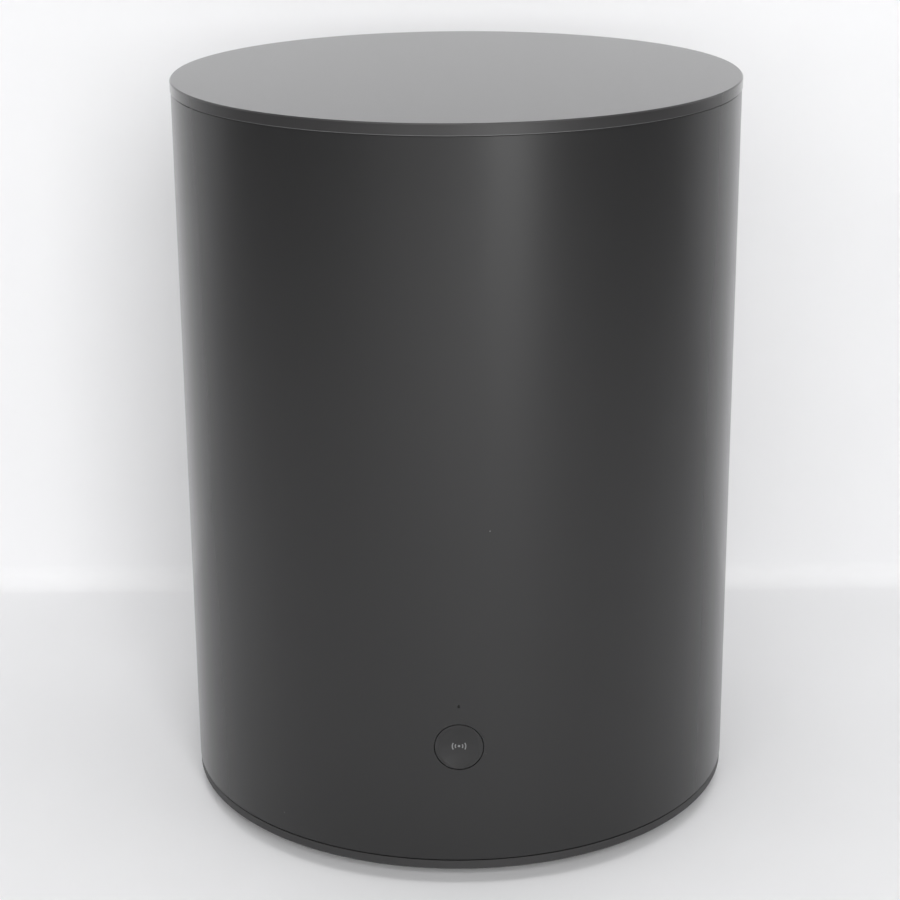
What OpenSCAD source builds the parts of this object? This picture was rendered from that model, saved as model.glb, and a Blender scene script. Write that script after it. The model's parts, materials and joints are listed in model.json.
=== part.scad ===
// Compact sealed subwoofer: a cylinder with two opposed woofers that face each other
// across a tall open slot. Millimetres. Origin at the middle of the footprint, on the
// surface it stands on. +Z up, -Y the control side with the button, +Y the slot side.

/* [Cabinet] */
// Overall height
total_h = 305; // [303:0.5:307]
// Outside radius of the top cap, the widest part
cap_r = 115; // [114.9:0.1:116]
// Outside radius of the cabinet wall
shell_r = 114.7; // [114.5:0.1:114.9]
// Thickness of the cabinet wall
shell_wall = 4; // [3.8:0.1:4.2]
// Height of the cap's visible band
cap_h = 4.3; // [4:0.1:5]
// Gap between the cap and the wall
seam_gap = 0.3; // [0.2:0.05:0.5]

/* [Base] */
// Height of the base cover's underside
base_z0 = 6.5; // [6:0.1:7]
// Thickness of the base cover
base_t = 4; // [3.8:0.1:4.2]
// Outside radius of the base cover
base_r = 114.5; // [114:0.1:114.7]
// Shadow gap between the base cover and the wall
base_gap = 0.6; // [0.4:0.1:0.8]
// Outside radius of the rubber foot ring
foot_r = 96; // [95:0.5:97]
// Width of the rubber foot ring
foot_w = 12; // [11:0.5:12]
// Half the width of the cord gap in the foot ring
cord_gap_half = 8; // [6:0.5:9]

/* [Slot and tunnel] */
// Height of the slot's middle
slot_z = 158; // [157.5:0.5:159]
// Radius of the slot's round ends, half its width
slot_r = 28; // [27.5:0.25:28.5]
// Half the length of the slot's straight sides
slot_half = 78; // [77:0.5:78]
// Inner face of the tunnel's back wall
tunnel_back = -82; // [-83:0.5:-81]

/* [Woofers] */
// Radius of the basket's flange
flange_r = 79; // [78:0.5:79]
// Radius of the cut-out in the tunnel wall
cutout_r = 70; // [70:0.5:71]
// Radius of the circle that the flange screws stand on
flange_screw_r = 75; // [74.8:0.1:75.2]
// Farthest stroke of the cone each way
cone_stroke = 6; // [4:0.5:6]

/* [Controls] */
// Height of the button's middle
button_z = 60.3; // [59:0.1:62]
// Radius of the button
button_r = 9.45; // [9:0.05:9.5]
// Running gap round the button
button_gap = 0.35; // [0.25:0.05:0.4]
// Depth of the dish in the button's face
dish_depth = 1.1; // [0.6:0.1:1.2]
// Travel of the button
button_travel = 0.8; // [0.4:0.1:0.8]
// Height of the light's pinhole
light_z = 77.7; // [77:0.1:79]
// Radius of the light's pinhole
light_r = 0.55; // [0.4:0.05:0.7]

/* [Hidden] */
$fn = 96;
eps = 0.5;

// Cabinet levels and radii
shell_in = shell_r - shell_wall;
base_z1 = base_z0 + base_t;
shell_z0 = base_z1 + base_gap;
cap_z0 = total_h - cap_h;
shell_z1 = cap_z0 - seam_gap;
edge_chamfer = 0.3;
base_chamfer = 0.7;
cap_edge = 0.5;
cap_web_r = 105;
lid_r = shell_in - 0.5;
ledge_r = 103;
floor_screw_r = 107.6;
top_screw_r = 106;
skirt_in = 108.6;
ledge_screws = 8;
gasket_t = 0.8;
floor_z0 = 36;
floor_z1 = 40;
floor_ledge_z1 = 43.8;
top_ledge_z0 = 288;
top_ledge_z1 = 292;
top_plate_z0 = top_ledge_z1 + gasket_t;
top_plate_t = 3;
top_plate_z1 = top_plate_z0 + top_plate_t;
plate_rib_r = 70;
plate_rib = 2.5;
cap_t = 2.4;
antenna_x = 84;
antenna_half = [5, 22];
antenna_arm = 3;
antenna_t = 0.8;
post_x = 20;
post_y = 40;
post_r = 5;
liner_wall = 2.5;
liner_lip = 7;
lip_r0 = 107.4;
lip_r1 = shell_in - 0.6;

// Foot ring and base screws
foot_in = foot_r - foot_w;
foot_seat_z = base_z0 + 2;
base_screw_r = 90;
base_screw_count = 6;
base_boss_r = 6;
base_boss_z = 13;
base_rib_r = 103.5;
base_rib_h = 4;
head_recess_r = 3.2;
leg_r = 4.5;
grommet_r = 5;
grommet_lip_r = 7;
grommet_lip_t = 2;

// Socket well in the base cover, open downwards
well_x = 33;
well_y0 = -72;
well_y1 = -34;
well_wall = 2.3;
well_top = 22;
inlet_x = -14;
network_x = 17;
socket_y = -53;
socket_z1 = 35.5;
pole_x = 4.3;
pole_r = 4.3;
well_flange_x = 39.5;
well_flange_y = [-80, -27];

// Boards
board_z = 15;
board_t = 1.6;
board_post_r = 3.2;
part_z = board_z + board_t;

// Woofer stations, measured from the middle plane outwards
pad_x = 34;
baffle_r = 82;
flange_x = pad_x + 1;
flange_t = 3;
roll_r = 6.2;
roll_mid_r = 58.3;
roll_t = 1;
coil_r = 19.5;
spider_seat = 57.5;
plate_x = 67;
plate_t = 6;
plate_r = 45;
magnet_x = plate_x + plate_t;
magnet_t = 16;
magnet_r = 44;
magnet_hole_r = 26;
yoke_x = magnet_x + magnet_t;
yoke_t = 5;
yoke_r = 42;
vent_r = 6;
former_x = [51, 82];
winding_x = [64, 80];

// Leads: points that each one passes through
woofer_route = [
    [62.4, 0, 96.2], [62.4, 0, 94], [61.8, 2.5, 89.5], [60.5, 11, 76], [60, 21, 64], [60, 28.5, 54],
    [60, 30, 46], [60, 30, 36], [60, 30, 28], [60, 30, part_z + 0.1]];
control_route = [
    [16, -98.4, 54], [16, -96.5, 50], [16, -92.4, 46], [16, -92, 43], [16, -92, 38], [16, -92, 33],
    [20, -90, 27], [33, -81.5, 24], [42, -71, 23], [49, -58, 22], [52, -50.4, 20], [52, -50, 18.5],
    [52, -50, part_z + 0.1]];
mains_route = [
    [-20, -44.5, 31], [-20, -41, 31], [-22, -37, 30.6], [-27, -32, 29.5], [-34, -28, 27],
    [-39.5, -26.3, 23.5], [-42, -26, 19.5], [-42, -26, part_z + 0.1]];

// Place and bore of each grommet in the chamber floor
grommets = [[-60, 30, 2.1], [60, 30, 2.1], [16, -92, 1.6]];

// Screws
screw_r = 1.45;
pilot_r = 1.5;
screw_hole_r = 1.7;
small_screw_r = 1.1;
small_pilot_r = 1.15;
small_head_r = 2.2;
inner_head_r = 2.4;
head_r = 2.8;
head_h = 1.9;

// Controls, measured along Y from the cabinet's axis
board_y = -101.5;
switch_face_y = -105;
stem_end_y = -106.9;
plunger_y = -106.6;
guide_r = 11.6;
guide_wall = 2.4;
control_screw_x = 19;
boss_r = 3;
stem_r = 2.6;
button_flange = 1.6;
board_half_x = 23;
light_guide_r = 1.6;
control_board_z = [50.3, 84.3];
dish_r = (pow(button_r - 0.35, 2) + pow(dish_depth, 2)) / (2 * dish_depth);

// ---------- helpers ----------

module ring(r_out, r_in, z0, z1) {
    translate([0, 0, z0])
        difference() {
            cylinder(r = r_out, h = z1 - z0);
            translate([0, 0, -eps]) cylinder(r = r_in, h = z1 - z0 + 2 * eps);
        }
}

module rod(r, z0, z1) {
    translate([0, 0, z0]) cylinder(r = r, h = z1 - z0);
}

// A block between two opposite corners
module block(low, high) {
    translate(low) cube(high - low);
}

// A flat outline in X and Z, carried along Y
module along_y(y0, y1) {
    translate([0, y1, 0]) rotate([90, 0, 0]) linear_extrude(y1 - y0) children();
}

// A rod along Y at a place in X and Z
module rod_y(r, x, z, y0, y1) {
    translate([x, y1, z]) rotate([90, 0, 0]) cylinder(r = r, h = y1 - y0);
}

// The slot's outline, grown by a margin
module pill(margin = 0) {
    translate([0, slot_z]) {
        square([2 * (slot_r + margin), 2 * slot_half], center = true);
        for (end = [-1, 1]) translate([0, end * slot_half]) circle(r = slot_r + margin);
    }
}

module around(count, radius, turn = 0) {
    for (i = [0 : count - 1]) rotate([0, 0, turn + i * 360 / count]) translate([radius, 0, 0]) children();
}

module at_posts() {
    for (x = [-post_x, post_x]) for (y = [-post_y, post_y]) translate([x, y, 0]) children();
}

// Stands a woofer piece on its side; side is -1 for the left woofer and 1 for the right
module woofer(side) {
    mirror([side < 0 ? 1 : 0, 0, 0]) translate([0, 0, slot_z]) rotate([0, 90, 0]) children();
}

// A pan head screw that points up, with the underside of its head at z
module screw_up(z, length, head = head_r, shank = screw_r) {
    difference() {
        union() {
            rod(shank, z, z + length);
            rod(head, z - head_h, z);
        }
        translate([0, 0, z - head_h - eps]) cylinder(r = head * 0.42, h = 1.1 + eps, $fn = 6);
    }
}

// A pan head screw that points down, with the underside of its head at z
module screw_down(z, length, head = head_r, shank = screw_r) {
    translate([0, 0, 2 * z]) mirror([0, 0, 1]) screw_up(z, length, head, shank);
}

// Rings of a round tube along a route that never runs along X
function tangent(p, i) =
    let (a = p[max(i - 1, 0)], b = p[min(i + 1, len(p) - 1)]) (b - a) / norm(b - a);
function side_of(t) = cross([1, 0, 0], t) / norm(cross([1, 0, 0], t));
function tube_ring(p, i, r, sides) =
    let (t = tangent(p, i), u = side_of(t), v = cross(t, u))
    [for (k = [0 : sides - 1]) p[i] + r * (u * cos(360 * k / sides) + v * sin(360 * k / sides))];
function tube_points(p, r, sides) = [for (i = [0 : len(p) - 1]) each tube_ring(p, i, r, sides)];
function tube_faces(n, sides) = concat(
    [[for (k = [0 : sides - 1]) k]],
    [for (i = [0 : n - 2]) for (k = [0 : sides - 1])
        each [
            [i * sides + k, (i + 1) * sides + k, (i + 1) * sides + (k + 1) % sides],
            [i * sides + k, (i + 1) * sides + (k + 1) % sides, i * sides + (k + 1) % sides]]],
    [[for (k = [sides - 1 : -1 : 0]) (n - 1) * sides + k]]);

// One point of a smooth curve through four neighbours
function smooth(a, b, c, d, t) =
    0.5 * (2 * b + (c - a) * t + (2 * a - 5 * b + 4 * c - d) * t * t + (3 * b - a - 3 * c + d) * t * t * t);
function smooth_route(p, steps) = concat(
    [for (i = [0 : len(p) - 2]) for (s = [0 : steps - 1])
        smooth(p[max(i - 1, 0)], p[i], p[i + 1], p[min(i + 2, len(p) - 1)], s / steps)],
    [p[len(p) - 1]]);

module tube(route, r, steps = 4, sides = 8) {
    line = smooth_route(route, steps);
    polyhedron(points = tube_points(line, r, sides), faces = tube_faces(len(line), sides), convexity = 4);
}

// ---------- cabinet ----------

module cabinet_shell() {
    color([0.13, 0.13, 0.135])
    difference() {
        union() {
            rotate_extrude() polygon([
                [shell_in, shell_z0], [shell_r, shell_z0], [shell_r, shell_z1 - edge_chamfer],
                [shell_r - edge_chamfer, shell_z1], [shell_in, shell_z1]]);
            control_bosses();
        }
        along_y(20, shell_r + 5) pill();
        rod_y(button_r + button_gap, 0, button_z, -shell_r - 5, -shell_in + 5);
        rod_y(light_r + 0.05, 0, light_z, -shell_r - 5, -shell_in + 5);
        for (x = [-control_screw_x, control_screw_x])
            rod_y(small_screw_r, x, button_z, -shell_in + 0.5, board_y);
    }
}

// Two rings glued inside the wall, which the chamber's lids are screwed to
module wall_ledges() {
    color([0.2, 0.2, 0.2])
    difference() {
        union() {
            ring(shell_in, ledge_r, floor_z1 + gasket_t, floor_ledge_z1);
            ring(shell_in, ledge_r, top_ledge_z0, top_ledge_z1);
        }
        around(ledge_screws, floor_screw_r, 22.5) rod(pilot_r, floor_z1, floor_ledge_z1 + eps);
        around(ledge_screws, top_screw_r, 22.5) rod(pilot_r, top_ledge_z0 - eps, top_ledge_z1 + eps);
    }
}

module control_bosses() {
    intersection() {
        for (x = [-control_screw_x, control_screw_x])
            rod_y(boss_r, x, button_z, -shell_r + 1, board_y - 1.5);
        rod(shell_r - 1, shell_z0, shell_z1 - 1);
    }
}

module top_cap() {
    color([0.14, 0.14, 0.145])
    rotate_extrude() polygon([
        [0, total_h - cap_t], [cap_web_r, total_h - cap_t], [skirt_in, cap_z0], [skirt_in, top_plate_z1],
        [lid_r, top_plate_z1], [lid_r, cap_z0], [cap_r, cap_z0],
        [cap_r, total_h - cap_edge], [cap_r - cap_edge, total_h], [0, total_h]]);
}

module top_plate() {
    color([0.2, 0.2, 0.2])
    difference() {
        union() {
            rod(lid_r, top_plate_z0, top_plate_z1);
            ring(plate_rib_r, plate_rib_r - plate_rib, top_plate_z1 - eps, top_plate_z1 + plate_rib);
        }
        around(ledge_screws, top_screw_r, 22.5) rod(screw_hole_r, top_plate_z0 - eps, top_plate_z1 + eps);
        at_posts() rod(screw_hole_r, top_plate_z0 - eps, top_plate_z1 + eps);
    }
}

module lid_gaskets() {
    color([0.07, 0.07, 0.07])
    difference() {
        union() {
            ring(lid_r, ledge_r, top_ledge_z1, top_plate_z0);
            ring(lid_r, ledge_r, floor_z1, floor_z1 + gasket_t);
        }
        around(ledge_screws, top_screw_r, 22.5) rod(screw_hole_r, top_ledge_z1 - eps, top_plate_z0 + eps);
        around(ledge_screws, floor_screw_r, 22.5)
            rod(screw_hole_r, floor_z1 - eps, floor_z1 + gasket_t + eps);
    }
}

module wifi_antennas() {
    color("darkgoldenrod")
    for (side = [-1, 1])
        difference() {
            block([side * antenna_x - antenna_half[0], -antenna_half[1], top_plate_z1],
                [side * antenna_x + antenna_half[0], antenna_half[1], top_plate_z1 + antenna_t]);
            block(
                [side * antenna_x - antenna_half[0] + antenna_arm, antenna_arm - antenna_half[1],
                    top_plate_z1 - eps],
                [side * antenna_x + antenna_half[0] - antenna_arm, 2 * antenna_arm,
                    top_plate_z1 + antenna_t + eps]);
        }
}

// ---------- base ----------

module base_cover() {
    color([0.14, 0.14, 0.145])
    difference() {
        union() {
            rotate_extrude() polygon([
                [0, base_z0], [base_r - base_chamfer, base_z0], [base_r, base_z0 + base_chamfer],
                [base_r, base_z1], [0, base_z1]]);
            ring(lid_r, base_rib_r, base_z1 - eps, base_z1 + base_rib_h);
            around(base_screw_count, base_screw_r) rod(base_boss_r, base_z1 - eps, base_boss_z);
            at_board_screws() rod(board_post_r, base_z1 - eps, board_z);
        }
        block([-well_x - well_wall, well_y0 - well_wall, 0], [well_x + well_wall, well_y1 + well_wall, 20]);
        ring(foot_r + 0.2, foot_in - 0.2, base_z0 - eps, foot_seat_z);
        around(base_screw_count, base_screw_r) {
            rod(head_recess_r, base_z0, foot_seat_z + head_h + 0.1);
            rod(screw_hole_r, base_z0, base_boss_z + eps);
        }
        at_board_screws() rod(small_pilot_r, base_z1, board_z + eps);
        at_well_screws() rod(small_pilot_r, base_z1 - 3, base_z1 + eps);
    }
}

module base_gasket() {
    color([0.05, 0.05, 0.05]) ring(shell_r - 2.2, shell_in + 0.1, base_z1, shell_z0);
}

module base_screws() {
    color("silver")
    around(base_screw_count, base_screw_r) screw_up(foot_seat_z + head_h + 0.1, 14);
}

module foot_ring() {
    color([0.05, 0.05, 0.05])
    difference() {
        rotate_extrude() polygon([
            [foot_in + 1, 0], [foot_r - 1, 0], [foot_r, 1], [foot_r, foot_seat_z],
            [foot_in, foot_seat_z], [foot_in, 1]]);
        block([-cord_gap_half, -foot_r - 5, -1], [cord_gap_half, -foot_in + 5, foot_seat_z + 1]);
    }
}

// ---------- chamber floor ----------

module chamber_floor() {
    color([0.2, 0.2, 0.2])
    difference() {
        union() {
            rod(lid_r, floor_z0, floor_z1);
            around(base_screw_count, base_screw_r) rod(leg_r, base_boss_z, floor_z0 + eps);
        }
        around(ledge_screws, floor_screw_r, 22.5) rod(screw_hole_r, floor_z0 - eps, floor_z1 + eps);
        at_posts() rod(screw_hole_r, floor_z0 - eps, floor_z1 + eps);
        for (g = grommets) translate([g[0], g[1], 0]) rod(grommet_r, floor_z0 - eps, floor_z1 + eps);
        around(base_screw_count, base_screw_r) rod(pilot_r, base_boss_z - eps, base_boss_z + 14);
    }
}

// Screws that clamp the two chamber lids to the wall's ledges and to the tunnel's posts
module chamber_screws() {
    color("silver") {
        around(ledge_screws, floor_screw_r, 22.5) screw_up(floor_z0, 7, inner_head_r);
        at_posts() screw_up(floor_z0, 12, inner_head_r);
        around(ledge_screws, top_screw_r, 22.5) screw_down(top_plate_z1, 7, inner_head_r);
        at_posts() screw_down(top_plate_z1, 12, inner_head_r);
    }
}

module cable_grommets() {
    color([0.06, 0.06, 0.06])
    for (g = grommets) translate([g[0], g[1], 0])
        difference() {
            union() {
                rod(grommet_r, floor_z0, floor_z1);
                rod(grommet_lip_r, floor_z1, floor_z1 + grommet_lip_t);
            }
            rod(g[2], floor_z0 - eps, floor_z1 + grommet_lip_t + eps);
        }
}

// ---------- tunnel ----------

module tunnel_liner() {
    color([0.1, 0.1, 0.105])
    difference() {
        union() {
            intersection() {
                along_y(tunnel_back - 4, lip_r1 + 5) pill(liner_wall);
                rod(lip_r1, 30, 290);
            }
            intersection() {
                along_y(60, lip_r1 + 5) pill(liner_lip);
                ring(lip_r1, lip_r0, 35, 285);
            }
        }
        along_y(tunnel_back, shell_r + 5) pill();
        for (side = [-1, 1]) woofer(side) rod(cutout_r, 0, pad_x + eps);
    }
}

// Rings glued to the tunnel's sides, which the woofers are screwed to
module woofer_baffles() {
    color([0.16, 0.16, 0.16])
    for (side = [-1, 1]) woofer(side) difference() {
        ring(baffle_r, cutout_r, slot_r + liner_wall, pad_x);
        around(6, flange_screw_r, 30) rod(pilot_r, slot_r, pad_x + eps);
    }
}

// Posts between the tunnel and the chamber's two lids
module tunnel_posts() {
    color([0.16, 0.16, 0.16])
    difference() {
        at_posts() {
            rod(post_r, floor_z1, slot_z - slot_half);
            rod(post_r, slot_z + slot_half, top_plate_z0);
        }
        along_y(-post_y - 10, post_y + 10) pill(liner_wall);
        at_posts() rod(pilot_r, floor_z1 - eps, floor_z1 + 9);
        at_posts() rod(pilot_r, top_plate_z0 - 10, top_plate_z0 + eps);
    }
}

module tunnel_gasket() {
    color([0.06, 0.06, 0.06])
    intersection() {
        along_y(60, shell_in + 5) difference() {
            pill(liner_lip - 0.5);
            pill(1.5);
        }
        ring(shell_in, lip_r1, 35, 285);
    }
}

// ---------- woofers ----------

module basket() {
    difference() {
        rotate_extrude() polygon([
            [64, flange_x], [flange_r, flange_x], [flange_r, flange_x + flange_t],
            [69, flange_x + flange_t], [54.5, 57], [54.5, 60.5], [50, 60.5], [50, plate_x],
            [30, plate_x], [30, plate_x - 3], [47.6, plate_x - 3], [47.6, spider_seat],
            [51, spider_seat], [51, 55.5], [64, flange_x + flange_t]]);
        for (i = [0 : 5]) rotate([0, 0, 60 * i + 30]) translate([0, 0, 40])
            linear_extrude(14) polygon([[20, 0], [90, -36], [90, 36]]);
        around(6, flange_screw_r, 30) rod(screw_hole_r, flange_x - eps, flange_x + flange_t + eps);
    }
}

module left_basket() {
    color([0.11, 0.11, 0.11]) woofer(-1) basket();
}

module right_basket() {
    color([0.11, 0.11, 0.11]) woofer(1) basket();
}

// Half roll between two flat lips; it bulges towards the tunnel
module surround() {
    rotate_extrude() {
        translate([roll_mid_r, flange_x]) difference() {
            circle(r = roll_r);
            circle(r = roll_r - roll_t);
            translate([-10, 0]) square([20, 10]);
        }
        translate([roll_mid_r + roll_r - roll_t, flange_x - roll_t]) square([5.2 + roll_t, roll_t]);
        translate([roll_mid_r - roll_r - 3.6, flange_x - roll_t]) square([3.6 + roll_t, roll_t]);
    }
}

module left_surround() {
    color([0.04, 0.04, 0.04]) woofer(-1) surround();
}

module right_surround() {
    color([0.04, 0.04, 0.04]) woofer(1) surround();
}

module cone_body() {
    rotate_extrude() polygon([
        [53.4, flange_x], [53.4, flange_x + 1], [49, flange_x + 1.2], [34, 42.8],
        [20.2, 53.4], [20.2, 51.8], [33.4, 41.8], [48.4, flange_x]]);
}

module left_cone() {
    color([0.09, 0.09, 0.09]) woofer(-1) cone_body();
}

module right_cone() {
    color([0.09, 0.09, 0.09]) woofer(1) cone_body();
}

// Shallow dome over the cone's neck
module dust_cap() {
    dome_r = 40;
    dome_z = 38;
    rotate_extrude() intersection() {
        difference() {
            translate([0, dome_z + dome_r]) circle(r = dome_r);
            translate([0, dome_z + dome_r]) circle(r = dome_r - 0.8);
        }
        polygon([[0, dome_z - 1], [26, dome_z - 1], [26, 47.48], [0, 47.48]]);
    }
}

module left_dust_cap() {
    color([0.06, 0.06, 0.06]) woofer(-1) dust_cap();
}

module right_dust_cap() {
    color([0.06, 0.06, 0.06]) woofer(1) dust_cap();
}

// Former tube with the winding round its far end
module voice_coil() {
    ring(coil_r + 0.5, coil_r, former_x[0], former_x[1]);
    ring(coil_r + 1.3, coil_r + 0.5, winding_x[0], winding_x[1]);
}

module left_voice_coil() {
    color("chocolate") woofer(-1) voice_coil();
}

module right_voice_coil() {
    color("chocolate") woofer(1) voice_coil();
}

// Corrugated disc that centres the coil
module spider() {
    r0 = coil_r + 0.6;
    r1 = 50.4;
    flat = 3;
    waves = 6;
    steps = 48;
    mid = spider_seat;
    span = r1 - r0 - 2 * flat;
    top = [for (i = [0 : steps]) [r0 + flat + span * i / steps, mid + 1.2 * sin(360 * waves * i / steps)]];
    under = [for (i = [steps : -1 : 0]) top[i] - [0, 0.6]];
    rotate_extrude()
        polygon(concat([[r0, mid]], top, [[r1, mid], [r1, mid - 0.6]], under, [[r0, mid - 0.6]]));
}

module left_spider() {
    color("tan") woofer(-1) spider();
}

module right_spider() {
    color("tan") woofer(1) spider();
}

module pole_plate() {
    ring(plate_r, coil_r + 2.2, plate_x, plate_x + plate_t);
}

module pole_plates() {
    color("silver") for (side = [-1, 1]) woofer(side) pole_plate();
}

module magnet() {
    ring(magnet_r, magnet_hole_r, magnet_x, magnet_x + magnet_t);
}

module magnets() {
    color([0.18, 0.18, 0.18]) for (side = [-1, 1]) woofer(side) magnet();
}

// Back plate and pole in one turned piece, with a vent through it
module yoke() {
    difference() {
        union() {
            rod(yoke_r, yoke_x, yoke_x + yoke_t);
            rod(coil_r - 0.8, plate_x, yoke_x + eps);
        }
        rod(vent_r, plate_x - eps, yoke_x + yoke_t + eps);
    }
}

module yokes() {
    color("silver") for (side = [-1, 1]) woofer(side) yoke();
}

module woofer_gaskets() {
    color([0.06, 0.06, 0.06])
    for (side = [-1, 1]) woofer(side) difference() {
        ring(flange_r, cutout_r, pad_x, flange_x);
        around(6, flange_screw_r, 30) rod(screw_hole_r, pad_x - eps, flange_x + eps);
    }
}

module woofer_screws() {
    color("silver")
    for (side = [-1, 1]) woofer(side)
        around(6, flange_screw_r, 30) screw_down(flange_x + flange_t, 7);
}

// Terminal strip with two tags, on the lower side of the basket's back ring
module woofer_terminals() {
    color("burlywood")
    for (side = [-1, 1]) woofer(side) {
        block([50, -8, 61.5], [55, 8, 63.5]);
        for (y = [-2.2, 2.2]) block([55, y - 0.9, 62], [61, y + 0.9, 62.8]);
    }
}

// Two-core leads from the terminals, through the floor, to the amplifier board
module woofer_leads() {
    color([0.7, 0.1, 0.1])
    for (side = [-1, 1]) mirror([side < 0 ? 1 : 0, 0, 0]) tube(woofer_route, 2);
}

// ---------- controls ----------

module button_cap() {
    color([0.13, 0.13, 0.135])
    difference() {
        union() {
            intersection() {
                rod_y(button_r, 0, button_z, -shell_r - 2, -shell_in + 1);
                rod(shell_r - 0.05, button_z - 15, button_z + 15);
            }
            intersection() {
                rod_y(button_r + button_flange, 0, button_z, -shell_r, -108.2);
                rod(shell_in - 0.25, button_z - 15, button_z + 15);
            }
            rod_y(stem_r, 0, button_z, -109, stem_end_y);
        }
        translate([0, -shell_r + dish_depth - dish_r, button_z]) sphere(r = dish_r);
    }
}

// Silicone boot that seals the hole and lifts the button back
module button_seal() {
    color([0.1, 0.1, 0.1])
    translate([0, 0, button_z]) rotate([90, 0, 0]) translate([0, 0, -board_y])
        rotate_extrude() polygon([
            [9.2, 0], [10.9, 0], [10.9, 0.8], [8.6, 6.6], [6.2, 6.6],
            [6.2, 6.1], [8.1, 6.1], [9.9, 0.8], [9.2, 0.8]]);
}

// Tube behind the wall that guides the button and carries the board
module button_housing() {
    color([0.2, 0.2, 0.2])
    difference() {
        intersection() {
            union() {
                rod_y(guide_r + guide_wall, 0, button_z, -shell_in, board_y - 1);
                block([-board_half_x, board_y - 1.5, button_z - 5], [board_half_x, board_y, button_z + 5]);
                rod_y(boss_r, 0, light_z, -106, board_y - 1.5);
                block([-1.5, -106, button_z + guide_r], [1.5, board_y - 1.5, light_z]);
            }
            rod(shell_in - 0.15, 0, 100);
        }
        rod_y(guide_r, 0, button_z, -shell_in - 1, board_y - 1);
        rod_y(10.95, 0, button_z, -shell_in - 1, board_y + 1);
        rod_y(light_guide_r + 0.05, 0, light_z, -shell_in, board_y);
        for (x = [-control_screw_x, control_screw_x]) {
            rod_y(boss_r + 0.15, x, button_z, -shell_in - 1, board_y - 1.5);
            rod_y(small_pilot_r, x, button_z, -shell_in, board_y + 1);
        }
    }
}

module tact_switch() {
    color([0.08, 0.08, 0.08])
    difference() {
        block([-3, switch_face_y, button_z - 3], [3, board_y, button_z + 3]);
        rod_y(1.8, 0, button_z, switch_face_y - 1, switch_face_y + 3);
    }
}

module switch_plunger() {
    color([0.85, 0.85, 0.8]) rod_y(1.5, 0, button_z, plunger_y, switch_face_y + 1.4);
}

// Clear rod that carries the light to the pinhole
module light_pipe() {
    color([0.9, 0.9, 0.9, 0.6]) {
        rod_y(light_r, 0, light_z, -shell_r + 0.25, -shell_in + 0.2);
        rod_y(light_guide_r, 0, light_z, -shell_in + 0.2, board_y - 1.4);
    }
}

module status_led() {
    color([1, 1, 0.85])
    block([-1.6, board_y - 1.2, light_z - 0.8], [1.6, board_y, light_z + 0.8]);
}

module control_board() {
    color([0.05, 0.25, 0.12])
    difference() {
        along_y(board_y, board_y + board_t) translate([-board_half_x, control_board_z[0]])
            square([2 * board_half_x, control_board_z[1] - control_board_z[0]]);
        for (x = [-control_screw_x, control_screw_x])
            rod_y(small_pilot_r, x, button_z, board_y - 1, board_y + 3);
    }
}

module control_screws() {
    color("silver")
    for (x = [-control_screw_x, control_screw_x]) difference() {
        union() {
            rod_y(1.05, x, button_z, board_y - 6, board_y + board_t);
            rod_y(small_head_r, x, button_z, board_y + board_t, board_y + board_t + 1.5);
        }
        translate([x, board_y + board_t + 2, button_z])
            rotate([90, 0, 0]) cylinder(r = 1, h = 1.3, $fn = 6);
    }
}

// Lead from the control board, through the floor, to the logic board
module control_lead() {
    color([0.1, 0.1, 0.1]) tube(control_route, 1.2, 3);
}

// ---------- sockets and electronics ----------

module at_well_screws() {
    for (x = [-37.4, 37.4]) for (y = [-68, -42]) translate([x, y, 0]) children();
}

// Well that the plugs go up into, let into the base cover
module socket_housing() {
    color([0.1, 0.1, 0.1])
    difference() {
        union() {
            block([-well_x - well_wall + 0.2, well_y0 - well_wall + 0.2, base_z0],
                [well_x + well_wall - 0.2, well_y1 + well_wall - 0.2, well_top + 2.5]);
            block([-well_flange_x, well_flange_y[0], base_z1],
                [well_flange_x, well_flange_y[1], base_z1 + 2]);
        }
        block([-well_x, well_y0, 0], [well_x, well_y1, well_top]);
        block([inlet_x - 13, socket_y - 8, well_top - 1], [inlet_x + 13, socket_y + 8, well_top + 5]);
        block([network_x - 8, socket_y - 8, well_top - 1], [network_x + 8, socket_y + 8, well_top + 5]);
        at_well_screws() rod(1.3, base_z1 - eps, base_z1 + 3);
        around(base_screw_count, base_screw_r) rod(6.2, base_z1 - eps, base_z1 + 3);
    }
}

// Two-pole mains inlet; the plug goes up into its figure-of-eight mouth
module mains_inlet() {
    color([0.06, 0.06, 0.06])
    difference() {
        block([inlet_x - 12.9, socket_y - 7.9, well_top], [inlet_x + 12.9, socket_y + 7.9, socket_z1]);
        translate([inlet_x, socket_y, well_top - eps]) linear_extrude(10.5 + eps) {
            for (x = [-pole_x, pole_x]) translate([x, 0]) circle(r = pole_r);
            square([2 * pole_x, 6.8], center = true);
        }
        for (x = [-pole_x, pole_x])
            translate([inlet_x + x, socket_y, 0]) rod(1.25, well_top, socket_z1 - 0.5);
    }
}

module inlet_pins() {
    color("silver")
    for (x = [-pole_x, pole_x])
        translate([inlet_x + x, socket_y, 0]) rod(1.2, well_top + 1.2, socket_z1 - 0.6);
}

// Eight-way network socket with its latch notch towards the cord gap
module network_socket() {
    color([0.3, 0.3, 0.3])
    difference() {
        block([network_x - 7.9, socket_y - 7.9, well_top],
            [network_x + 7.9, socket_y + 7.9, socket_z1]);
        block([network_x - 5.9, socket_y - 3.6, well_top - 1],
            [network_x + 5.9, socket_y + 4.4, well_top + 12]);
        block([network_x - 3, socket_y - 5.2, well_top - 1],
            [network_x + 3, socket_y - 3.5, well_top + 9]);
        block([network_x - 1.6, socket_y - 6.4, well_top - 1],
            [network_x + 1.6, socket_y - 5.1, well_top + 9]);
    }
}

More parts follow.
